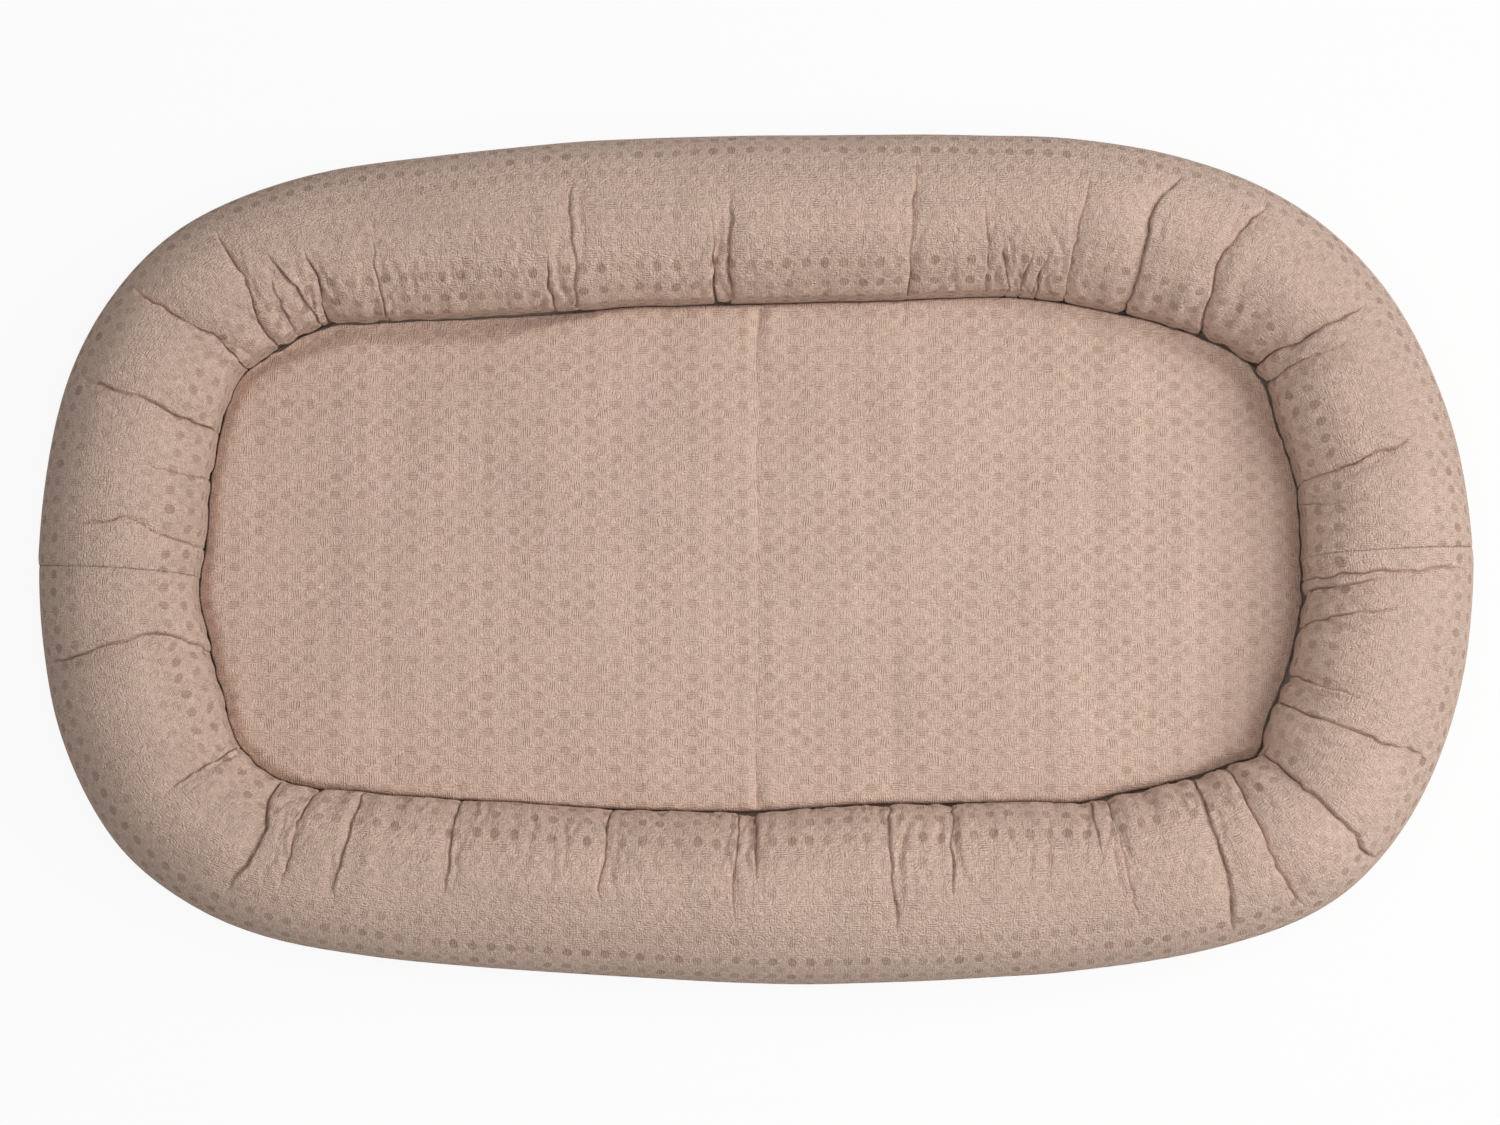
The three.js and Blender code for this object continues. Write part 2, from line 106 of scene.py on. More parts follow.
even_run = np.linspace(0, ring_run, 801)
heading = np.unwrap(np.arctan2(at_run(walk_normals[:, 1], even_run), at_run(walk_normals[:, 0], even_run)))
bend_at = np.abs(np.gradient(heading, even_run))


def bend_of(run):
    return np.interp(np.mod(run, ring_run), even_run, bend_at)


def bend_share(run):
    return bend_of(run) / bend_at.max()


# 0 along the straight sides, 1 where the ring bends
def where_bent(run):
    return smooth_step(0.1, 0.6, bend_share(run))


def half_width(run):
    return ring_width / 2 * (1 - bend_narrowing_share * smooth_step(0, 1, bend_share(run)))


def ring_normal(run):
    nx, ny = at_run(walk_normals[:, 0], run), at_run(walk_normals[:, 1], run)
    length = np.hypot(nx, ny)
    return nx / length, ny / length


# The point so far out from the centreline and so high
def ring_point(run, out, up=0.0):
    nx, ny = ring_normal(run)
    x, y = at_run(walk_points[:, 0], run) + nx * out, at_run(walk_points[:, 1], run) + ny * out
    return np.stack(np.broadcast_arrays(x, y, up), axis=-1)


# Creases of the gathered cover, read off the photograph: each runs from the inner edge up and over the
# crest. Each route's pixels are followed by how deep the crease is, in millimetres: minus where the upper
# lip is on its other side.
photo_centre_px = (755.5, 558)
photo_length_px = 1437
metres_per_px = (cad_high.x - cad_low.x) / photo_length_px
crease_routes_px = [
    ((1318, 581), (1455, 573), 5), ((1305, 593), (1372, 585), 5), ((1305, 629), (1386, 612), 4),
    ((1291, 677), (1348, 703), -4), ((1300, 715), (1410, 758), 5), ((1267, 763), (1358, 854), 7),
    ((1228, 777), (1257, 854), (1291, 897), -7), ((1195, 787), (1224, 926), 7),
    ((1114, 854), (1128, 921), -3), ((1089, 806), (1092, 852), 3), ((951, 811), (948, 892), 4),
    ((889, 844), (893, 926), 4), ((755, 811), (755, 873), 6), ((737, 835), (732, 916), -3),
    ((612, 811), (603, 907), -4), ((464, 806), (452, 897), 5), ((359, 825), (342, 907), 5),
    ((306, 830), (292, 887), -5), ((282, 787), (282, 825), (239, 887), 8), ((230, 758), (182, 787), 5),
    ((205, 650), (163, 636), (96, 658), (57, 667), -5), ((187, 547), (139, 526), (72, 528), 4),
    ((206, 480), (150, 470), -3), ((210, 430), (165, 411), (93, 382), -6),
    ((225, 349), (180, 322), (146, 299), 6), ((270, 339), (252, 290), (225, 248), 8),
    ((296, 330), (276, 285), -4), ((318, 322), (295, 290), (277, 267), -7),
    ((326, 320), (325, 300), (311, 263), 7), ((380, 277), (376, 248), 3), ((555, 306), (550, 267), 6),
    ((577, 258), (574, 186), -3), ((715, 296), (713, 239), 8), ((730, 253), (734, 205), -5),
    ((908, 291), (913, 176), 6), ((984, 282), (984, 215), 3), ((1006, 291), (994, 263), 5),
    ((1022, 292), (1030, 272), -4), ((1037, 291), (1048, 268), 5), ((1066, 277), (1085, 191), 4),
    ((1128, 308), (1147, 220), (1176, 191), -7), ((1200, 332), (1209, 277), (1262, 215), 8),
    ((1262, 363), (1295, 351), (1358, 310), -8), ((1276, 377), (1343, 349), 5),
    ((1300, 487), (1348, 468), (1410, 442), 6), ((1302, 505), (1340, 508), -3),
]
# The cross seams run a little aslant: pixels of the seam at the head end and at the foot end
cross_seams_px = (((1305, 560), (1472, 548)), ((191, 577), (41, 567)))
# Degrees round the tube's section: 0 outside, 90 at the crest, 180 inside, and below that the base's seam
seam_angle = 236
foot_angle = seam_angle - 360
crest_angle = 90
whole_angles = np.arange(foot_angle, seam_angle + 1)
crease_gap = 5 * mm
line_smoothing = 19


def run_and_reach_of_px(x_px, y_px):
    x = (x_px - photo_centre_px[0]) * metres_per_px
    y = (photo_centre_px[1] - y_px) * metres_per_px
    nearest = np.argmin(np.hypot(walk_points[:, 0] - x, walk_points[:, 1] - y))
    out = np.sum(((x, y) - walk_points[nearest]) * walk_normals[nearest])
    return walk_run[nearest], out, half_width(walk_run[nearest])


def section_place_of_px(x_px, y_px):
    run, out, half = run_and_reach_of_px(x_px, y_px)
    return run, math.degrees(math.acos(max(-1, min(1, out / half))))


# A crease as a line on the tube: the run at each whole degree of the section, and the degree where it ends
def line_of_route(pixels):
    angles, runs = np.array(sorted(section_place_of_px(*px)[::-1] for px in pixels)).T
    runs = runs[-1] + np.mod(runs - runs[-1] + ring_run / 2, ring_run) - ring_run / 2
    line = np.pad(np.interp(whole_angles, angles, runs), line_smoothing // 2, mode="edge")
    window = np.hanning(line_smoothing)
    return np.convolve(line, window / window.sum(), mode="valid"), angles[0]


# Soft uneven swelling: random heights on a coarse lattice that closes round the ring, joined smoothly
def rumple(run, across, run_length, across_length, seed):
    columns, rows = max(3, round(ring_run / run_length)), 64
    lattice = np.random.RandomState(seed).uniform(-1, 1, (columns, rows))
    u, v = np.mod(run / ring_run, 1) * columns, across / across_length + rows / 2
    i, j = np.floor(u).astype(int), np.floor(v).astype(int)
    f, g = smooth_step(0, 1, u - i), smooth_step(0, 1, v - j)
    i, j, i_next, j_next = i % columns, j % rows, (i + 1) % columns, (j + 1) % rows
    low = lattice[i, j] * (1 - f) + lattice[i_next, j] * f
    high = lattice[i, j_next] * (1 - f) + lattice[i_next, j_next] * f
    return low * (1 - g) + high * g


# The lines waver in short and in long waves: degrees of the section, how far, seed
crease_waves = ((7, 1 * mm, 31), (21, 1.6 * mm, 32))
wave_run = 10 * mm
creases = []
for *pixels, depth in crease_routes_px:
    line, end = line_of_route(pixels)
    for wave, reach, seed in crease_waves:
        line += reach * rumple(np.full_like(line, line.mean()), whole_angles, wave_run, wave, seed)
    creases.append({"line": line, "end": end, "depth": abs(depth) * mm, "side": math.copysign(1, depth)})
head_seam, foot_seam = (line_of_route(pixels)[0] for pixels in cross_seams_px)
head_seam = np.where(head_seam > ring_run / 2, head_seam - ring_run, head_seam)
half_ends = {"back": (head_seam, foot_seam), "front": (foot_seam, head_seam + ring_run)}


# The creases of one half, in order, kept apart from one another and from the cross seams
def creases_of(half_name):
    first, last = half_ends[half_name]
    found = []
    for crease in creases:
        line = crease["line"]
        line = np.where(line < first.min() - ring_run / 4, line + ring_run, line)
        if first.mean() < line.mean() < last.mean():
            found.append(dict(crease, line=line))
    found.sort(key=lambda crease: crease["line"].mean())
    bound = first
    for crease in found:
        crease["line"] = bound = np.maximum(crease["line"], bound + crease_gap)
    bound = last
    for crease in found[::-1]:
        crease["line"] = bound = np.minimum(crease["line"], bound - crease_gap)
    return found


half_creases = {half_name: creases_of(half_name) for half_name in half_ends}

# Where the outer edge stands out or draws in against the even plan: pixels on the photograph, millimetres
outline_swell_px = [
    ((1472, 555), -1.2), ((1406, 321), -4.2), ((1273, 196), 3.5), ((1000, 134), 0.3), ((755, 136), -0.4),
    ((558, 140), -4), ((420, 158), -8.6), ((300, 176), -4), ((137, 270), 4), ((55, 430), -1.6),
    ((37, 570), -1.2), ((75, 760), 0.2), ((173, 894), 5), ((296, 944), -5.6), ((417, 961), -10),
    ((518, 968), -7), ((604, 975), -3), ((760, 983), 0), ((1000, 975), -2.6), ((1099, 967), -5.4),
    ((1220, 945), -0.8), ((1341, 896), 7.5), ((1428, 780), 2.4),
]
# The ring's inner edge as it shows on the photograph, in pixels, from the head end round the back
inner_edge_px = [
    (1304, 556), (1300, 485), (1297, 474), (1278, 425), (1272, 387), (1256, 360), (1199, 331),
    (1125, 310), (1041, 294), (1000, 290), (894, 296), (758, 299), (633, 302), (540, 310), (449, 315),
    (370, 318), (322, 321), (274, 347), (237, 362), (217, 426), (208, 475), (203, 537), (194, 590),
    (206, 633), (220, 690), (234, 752), (282, 783), (347, 789), (427, 797), (520, 802), (633, 810),
    (758, 812), (860, 801), (945, 802), (1030, 800), (1082, 804), (1109, 793), (1180, 779), (1234, 760),
    (1264, 759), (1265, 720), (1283, 681), (1297, 638), (1305, 615),
]
largest_shift = 6.5 * mm
outline_smoothing = 30 * mm
inner_smoothing = 12 * mm


# A size that changes round the ring, from its sizes at some places, averaged over a reach to either side
def round_the_ring(places, reach):
    runs, sizes = np.array(sorted(places)).T
    return lambda run: np.mean([np.interp(np.mod(run + shift, ring_run), runs, sizes, period=ring_run)
                                for shift in np.linspace(-reach, reach, 7)], axis=0)


def run_of_px(px):
    return section_place_of_px(*px)[0]


def inward_shift_of_px(x_px, y_px):
    run, out, half = run_and_reach_of_px(x_px, y_px)
    return run, max(-largest_shift, min(largest_shift, -out - half))


outline_swell = round_the_ring([(run_of_px(px), swell * mm) for px, swell in outline_swell_px],
                               outline_smoothing)
inner_line = round_the_ring([inward_shift_of_px(*px) for px in inner_edge_px], inner_smoothing)
scallop_height = 0.75 * mm
scallop_length = 9 * mm
ends_from = (200 * mm, 320 * mm)


# How far the inner edge stands in from the even plan. Between its gathers it bulges, most at the two ends.
def inner_shift(run):
    at_ends = smooth_step(*ends_from, np.abs(at_run(walk_points[:, 0], run)))
    scallops = rumple(run, np.zeros_like(run), scallop_length, scallop_length, 19)
    return inner_line(run) + scallop_height * scallops * (0.35 + 0.65 * at_ends)


section_girth = math.pi * (ring_width / 2 + section_half_height)
crease_width = 6 * mm
crease_round = 1.5 * mm
valley_share = 0.6
pressed_share = 0.6
pucker_length = 21 * mm
pucker_height = 1.3 * mm
inner_fullness = 2.6 * mm
fine_swell = 1.2 * mm
broad_swell = 1.8 * mm
above_floor = 0.2 * mm
# Degrees of the section over which something fades in or out
shift_fades_out = (195, 230)
crease_fades_out = (seam_angle - 14, seam_angle + 2)
pressed_angles = (132, 165)
inner_angles = (crest_angle, 165)
fullness_fades_out = (seam_angle - 12, seam_angle)


# The point at an angle of the tube's section, pushed off its even surface
def section_point(run, angle, off):
    half = half_width(run)
    cosine, sine = np.cos(np.radians(angle)), np.sin(np.radians(angle))
    lean_out, lean_up = cosine / half, sine / section_half_height
    length = np.hypot(lean_out, lean_up)
    inner_side = smooth_step(0.05, 0.9, -cosine) * (angle > crest_angle)
    inner_side = inner_side * (1 - smooth_step(*shift_fades_out, angle))
    out = half * cosine + off * lean_out / length + outline_swell(run) * smooth_step(-0.55, 0.5, cosine)
    up = section_centre + section_half_height * sine + off * lean_up / length
    return ring_point(run, out - inner_shift(run) * inner_side, np.maximum(up, above_floor))


def held_by_crease(crease, angle, spread=30):
    start = smooth_step(crease["end"] - spread / 3, crease["end"] + spread, angle)
    return start * (1 - smooth_step(*crease_fades_out, angle))


# Where the mattress lies against the ring it presses the creases nearly flat
def pressed_flat(angle):
    return 1 - pressed_share * smooth_step(*pressed_angles, angle)


def crease_valleys(run, angle, half_name, width):
    off = np.zeros_like(run)
    for crease in half_creases[half_name]:
        away = run - np.interp(angle, whole_angles, crease["line"])
        valley = np.exp(-(np.sqrt(away ** 2 + crease_round ** 2) - crease_round) / width)
        off = np.minimum(off, -crease["depth"] * valley * held_by_crease(crease, angle))
    return off * valley_share * pressed_flat(angle)


# The cover as it is sewn: a round tube with a broad valley at each crease and small puckers inside
def sewn_tube(run, angle, half_name):
    inner = smooth_step(*inner_angles, angle) * (1 - smooth_step(*fullness_fades_out, angle))
    off = crease_valleys(run, angle, half_name, crease_width) + inner_fullness * inner
    phase = rumple(run, angle, 40 * mm, 45, 21) / 2
    swing = np.sin(2 * math.pi * (run / pucker_length + phase))
    off += pucker_height * inner * (0.45 + 0.55 * where_bent(run)) * swing
    across = angle / 360 * section_girth
    off += fine_swell * rumple(run, across, 45 * mm, 40 * mm, 5)
    off += broad_swell * rumple(run, across, 120 * mm, 70 * mm, 8) * (1 - inner)
    return section_point(run, angle, off)


# The rows and columns of the four corners of each face of a grid
def face_corners(shape, closed=True):
    rows, columns = shape
    i, j = np.meshgrid(np.arange(rows - 1), np.arange(columns if closed else columns - 1), indexing="ij")
    k = (j + 1) % columns
    return np.stack([(i, j), (i + 1, j), (i + 1, k), (i, k)], axis=-1)


def grid_mesh(name, points, closed=True):
    i, j = face_corners(points.shape[:2], closed)
    mesh = bpy.data.meshes.new(name)
    mesh.from_pydata(points.reshape(-1, 3).tolist(), [], (i * points.shape[1] + j).reshape(-1, 4).tolist())
    mesh.validate()
    piece = bpy.data.objects.new(name, mesh)
    bpy.context.scene.collection.objects.link(piece)
    return piece


# Cloth run that fills the sewn tube: the stuffing presses outwards and the seam and the foot are held
sewn_columns = 264
sewn_points = 72
settle_frames = 20
largest_move = 6 * mm
held_angles = (-66, seam_angle - 4)
cloth_settings = {"quality": 6, "mass": 0.001, "tension_stiffness": 15, "compression_stiffness": 5,
                  "shear_stiffness": 2, "bending_stiffness": 0.02, "air_damping": 2, "use_pressure": True,
                  "uniform_pressure_force": 260}


def stuffed(points, held):
    piece = grid_mesh("sewn", points)
    group = piece.vertex_groups.new(name="held")
    group.add(np.nonzero(held.ravel())[0].tolist(), 1.0, "ADD")
    cloth = piece.modifiers.new("stuffing", "CLOTH")
    for setting, value in cloth_settings.items():
        setattr(cloth.settings, setting, value)
    cloth.settings.vertex_group_mass = group.name
    cloth.settings.effector_weights.gravity = 0
    cloth.collision_settings.use_collision = False
    cloth.point_cache.frame_end = settle_frames
    for frame_number in range(1, settle_frames + 1):
        bpy.context.scene.frame_set(frame_number)
    made = piece.evaluated_get(bpy.context.evaluated_depsgraph_get()).data
    flat = np.empty(len(made.vertices) * 3, dtype=np.float32)
    made.vertices.foreach_get("co", flat)
    bpy.data.objects.remove(piece)
    bpy.context.scene.frame_set(1)
    move = flat.reshape(points.shape) - points
    length = np.linalg.norm(move, axis=-1, keepdims=True)
    return points + move * np.minimum(1, largest_move / np.maximum(length, 1e-9))


# Values between the points of a coarse grid, by a cubic B-spline
def smooth_sample(grid, i, j):
    def weights(f):
        return ((1 - f) ** 3 / 6, (3 * f ** 3 - 6 * f ** 2 + 4) / 6,
                (-3 * f ** 3 + 3 * f ** 2 + 3 * f + 1) / 6, f ** 3 / 6)

    i = np.clip(i, 0, grid.shape[0] - 1)
    i_low, j_low = np.floor(i).astype(int), np.floor(j).astype(int)
    total = 0
    for di, wi in enumerate(weights(i - i_low)):
        for dj, wj in enumerate(weights(j - j_low)):
            value = grid[np.clip(i_low + di - 1, 0, grid.shape[0] - 1), (j_low + dj - 1) % grid.shape[1]]
            total = total + value * (wi * wj)[..., None]
    return total


# The folds are narrower than the Cloth run's mesh can hold: beside a deep slit, one lip stands up and one
# dips. The grid of the finished cover has its columns close together beside each fold.
lip_height = 0.28
lip_reach = 9 * mm
lip_edge = 0.9 * mm
dip_depth = 0.3
dip_reach = 3.5 * mm
slit_depth = 0.75
slit_width = 0.55 * mm
beside_crease = np.array([-2.6, -1.5, -0.8, -0.35, 0, 0.35, 0.8, 1.5, 2.6]) * mm
plain_spacing = 1.3 * mm
nearest_plain = 0.7 * mm
nearest_column = 0.1 * mm
visible_angles = np.arange(-30, seam_angle, 3.0)
hidden_angles = np.linspace(foot_angle, -30, 16)[:-1]
cover_angles = np.concatenate([hidden_angles, visible_angles])
cover_thickness = 1.2 * mm
cross_seam_depth = 0.4 * mm
cross_seam_reach = 1.0 * mm
cross_seam_gap = 0.06 * mm
room_for_mattress = 0.05 * mm
# Small drag creases: many strewn over the ring, and some beside each large crease. Angles and reaches are in
# degrees of the section, distances and widths in millimetres, slants and bows in millimetres a degree.
strewn_creases = 260
strewn_depth = 1.2 * mm
strewn_angles = (85, 185)
strewn_reach = (6, 22)
side_creases = 3
side_depth = 2.6 * mm
side_above_end = (12, 60)
side_highest = 170
side_apart = (3, 8)
side_reach = (14, 30)
small_slant = (-0.3, 0.3)
small_bow = (-0.01, 0.01)
small_width = (0.9, 2.0)
ridge_height = 0.8 * mm
ridge_length = 8.5 * mm
ridge_slant = 0.06 * mm
ridge_start = (50, 100)
ridge_stop = (180, 220)


def cover_columns(half_name):
    first, last = (end.mean() for end in half_ends[half_name])
    crossings = [crease["line"].mean() for crease in half_creases[half_name]]
    fixed = np.concatenate([[first, last]] + [crossing + beside_crease for crossing in crossings])
    plain = np.linspace(first, last, round((last - first) / plain_spacing))
    apart = np.abs(plain[:, None] - fixed[None, :]).min(axis=1)
    columns = np.sort(np.concatenate([fixed, plain[apart > nearest_plain]]))
    columns = columns[np.concatenate([[True], np.diff(columns) > nearest_column])]
    return columns[(columns >= first) & (columns <= last)], np.array([first] + crossings + [last])


def folds(run, angle, half_name, seed):
    off = np.zeros_like(run)
    for number, crease in enumerate(half_creases[half_name]):
        away = (run - np.interp(angle, whole_angles, crease["line"])) * crease["side"]
        near = np.abs(away)
        lip = lip_height * np.exp(-near / lip_reach) * (1 - np.exp(-near / lip_edge)) * (away > 0)
        dip = dip_depth * np.exp(-near / dip_reach) * (away <= 0)
        broken = rumple(np.full_like(run, crease["line"].mean()), angle, wave_run, 17, seed + 40 + number)
        slit = slit_depth * np.exp(-(away / slit_width) ** 2) * (0.3 + 0.7 * smooth_step(-0.6, 0.2, broken))
        raised = (lip - dip) * pressed_flat(angle) - slit
        off += crease["depth"] * raised * held_by_crease(crease, angle, 20)
    return off


# Where the ring bends, the filling pushes soft ridges up across the tube
def ridges(run, angle, seed):
    strained = (0.35 + 0.65 * where_bent(run)) * smooth_step(*ridge_start, angle)
    strained = strained * (1 - smooth_step(*ridge_stop, angle))
    slanted = run + (angle - crest_angle) * ridge_slant
    return ridge_height * strained * rumple(slanted, angle, ridge_length, 48, seed)


def small_creases(run, angle, half_name, seed):
    off = np.zeros_like(run)
    chance = np.random.RandomState(seed)
    first, last = (end.mean() for end in half_ends[half_name])
    small = [(chance.uniform(first, last), chance.uniform(*strewn_angles), chance.uniform(*strewn_reach),
              strewn_depth) for _ in range(strewn_creases)]
    for crease in half_creases[half_name]:
        for _ in range(side_creases):
            height = min(side_highest, crease["end"] + chance.uniform(*side_above_end))
            beside = chance.choice((-1, 1)) * chance.uniform(*side_apart) * mm
            middle = np.interp(height, whole_angles, crease["line"]) + beside
            small.append((middle, height, chance.uniform(*side_reach), side_depth))
    for middle, height, reach, deepest in small:
        depth = chance.uniform(0.3, 1) * deepest * (0.4 + 0.6 * smooth_step(90, 130, height))
        slant, width, bow = (chance.uniform(*sizes) * mm for sizes in (small_slant, small_width, small_bow))
        near = np.abs(run - middle) < 12 * mm + abs(slant) * 60
        above = angle[near] - height
        away = run[near] - middle - slant * above - bow * above ** 2
        one_sided = 0.35 * np.exp(-((away - 1.8 * width) / (1.4 * width)) ** 2)
        off[near] += depth * np.exp(-(above / reach) ** 2) * (one_sided - np.exp(-(away / width) ** 2))
    return off


def cover_grid(half_name, settled, seed):
    first, last = half_ends[half_name]
    columns, crossings = cover_columns(half_name)
    lines = np.stack([first] + [crease["line"] for crease in half_creases[half_name]] + [last])
    shift = np.stack([np.interp(cover_angles, whole_angles, line) for line in lines]) - crossings[:, None]
    run = columns[:, None] + np.stack([np.interp(columns, crossings, column) for column in shift.T], axis=1)
    run += cross_seam_gap * (1 - 2 * (columns - columns[0]) / (columns[-1] - columns[0]))[:, None]
    angle = np.broadcast_to(cover_angles, run.shape)
    share = (run - first.mean()) / (last.mean() - first.mean())
    moved = smooth_sample(settled, share * (sewn_columns - 1), (angle - foot_angle) / 360 * sewn_points)
    from_seam = np.clip(np.minimum(run - run[:1], run[-1:] - run), 0, None)
    off = folds(run, angle, half_name, seed) + ridges(run, angle, seed + 7)
    off += small_creases(run, angle, half_name, seed)
    off -= cross_seam_depth * np.exp(-from_seam / cross_seam_reach)
    points = moved + section_point(run, angle, off)
    inward = np.linalg.norm(points[..., :2] - ring_point(run, 0)[..., :2], axis=-1)
    over = np.clip(inward - half_width(run) - inner_shift(run) - room_for_mattress, 0, None)
    over = over * smooth_step(140, 160, angle)
    for axis, normal in enumerate(ring_normal(run)):
        points[..., axis] += normal * over
    return points, run, angle


def settled_moves(half_name):
    first, last = (end.mean() for end in half_ends[half_name])
    angles = foot_angle + np.arange(sewn_points) * 360 / sewn_points
    run, angle = np.meshgrid(np.linspace(first, last, sewn_columns), angles, indexing="ij")
    start = sewn_tube(run, angle, half_name)
    held = (angle < held_angles[0]) | (angle > held_angles[1])
    held[[0, -1]] = True
    settled = stuffed(start, held)
    return settled - section_point(run, angle, np.zeros_like(run))


def select_only(piece):
    bpy.ops.object.select_all(action="DESELECT")
    piece.select_set(True)
    bpy.context.view_layer.objects.active = piece


def apply_modifier(piece, kind, **settings):
    select_only(piece)
    modifier = piece.modifiers.new(kind, kind)
    for setting, value in settings.items():
        setattr(modifier, setting, value)
    bpy.ops.object.modifier_apply(modifier=modifier.name)


def give_thickness(piece, thickness):
    apply_modifier(piece, "SOLIDIFY", thickness=thickness, offset=-1)
    bpy.ops.object.shade_smooth()


# sRGB hex to the linear colour that a shader takes
def linear(hex_colour):
    parts = [int(hex_colour[i:i + 2], 16) / 255 for i in (0, 2, 4)]
    return [p / 12.92 if p <= 0.04045 else ((p + 0.055) / 1.055) ** 2.4 for p in parts] + [1]


# Puts a value on a socket, or links the output that feeds it
def feed(socket, value):
    if isinstance(value, bpy.types.NodeSocket):
        socket.id_data.links.new(value, socket)
    else:
        socket.default_value = value


# Adds a node: what feeds its sockets, by place or by name, the output that is wanted, and its settings
def add_node(material, kind, sockets=(), out=0, **settings):
    node = material.node_tree.nodes.new("ShaderNode" + kind)
    for setting, value in settings.items():
        setattr(node, setting, value)
    for socket, value in sockets.items() if isinstance(sockets, dict) else enumerate(sockets):
        feed(node.inputs[socket], value)
    return node.outputs[out]


def new_material(name, **sockets):
    material = bpy.data.materials.new(name)
    material.use_nodes = True
    shader = material.node_tree.nodes["Principled BSDF"]
    for socket, value in sockets.items():
        feed(shader.inputs[socket.replace("_", " ")], value)
    return material, shader


# The last links of a material: its colour, and bumps as high as a pattern says
def colour_and_bump(material, shader, colour, height, distance, strength):
    feed(shader.inputs["Base Color"], colour)
    bump = add_node(material, "Bump", {"Height": height, "Distance": distance, "Strength": strength})
    feed(shader.inputs["Normal"], bump)


# Dobby cotton: two loosely woven layers tied together in spots. Each spot is a small sunk oval where the
# threads across lie on top, drawn in so that the threads round it point at it; between the spots are
# short raised groups of threads along. Both repeat every 15 mm across the cloth and 11 mm along it. The
# threads are 0.6 mm thick and lie in pairs, so they are drawn at 1.3 mm.
dobby_repeat = (15.1 * mm, 10.85 * mm, 1)
dobby_drift = (3.6 * mm, 3 * mm, 0)
thread_pair = 1.3 * mm
rays_round_oval = 18
cotton_bump = 0.8 * mm
cotton_ground = "d6b7a9"
cotton_beige = "d3b9a6"
cotton_oval = "ab8e7d"
cotton_sheen = "e6d3c6"
# Each motif's place in the repeat, its size, where its edge fades out and in, and its strength by chance
dobby_motifs = (("oval", 0, 6.6 * mm, 5.4 * mm, 1.25, 0.8, 0.5, 0.45),
                ("group", 0.5, 6.2 * mm, 6.6 * mm, 1.25, 0.75, 0.6, 0.55))
# Uneven patterns: how often they change in a metre across and along, and their detail. Dye takes unevenly
# along the warp, single threads show as fine slubs both ways, thicker yarn that also carries a painted
# highlight where it stands up, and the cloth crinkles.
dobby_patterns = (("drift", 45, 45, 1), ("wobble", 330, 330, 2), ("slubs_along", 1100, 210, 2),
                  ("slubs_across", 230, 1100, 2), ("bands", 55, 5, 2), ("cloud", 16, 16, 2),
                  ("crinkle", 150, 150, 3), ("wrinkles", 480, 320, 2), ("dye", 90, 35, 2))
# How much lighter each layer makes the cloth, and how much higher. Where threads and slubs stand up their
# lighter colour is painted highlight, and between them the darker colour is painted shade.
dobby_tones = (("oval_threads", 0.16), ("group_threads", 0.22), ("group", -0.06), ("rays", 0.14),
               ("slubs", 0.38), ("bands", 0.18), ("cloud", 0.12))
dobby_heights = (("slubs", 0.9), ("oval", -0.7), ("oval_threads", 0.12), ("group", 0.3),
                 ("group_threads", 0.3), ("rays", 0.22), ("crinkle", 1.1), ("wrinkles", -4.5))


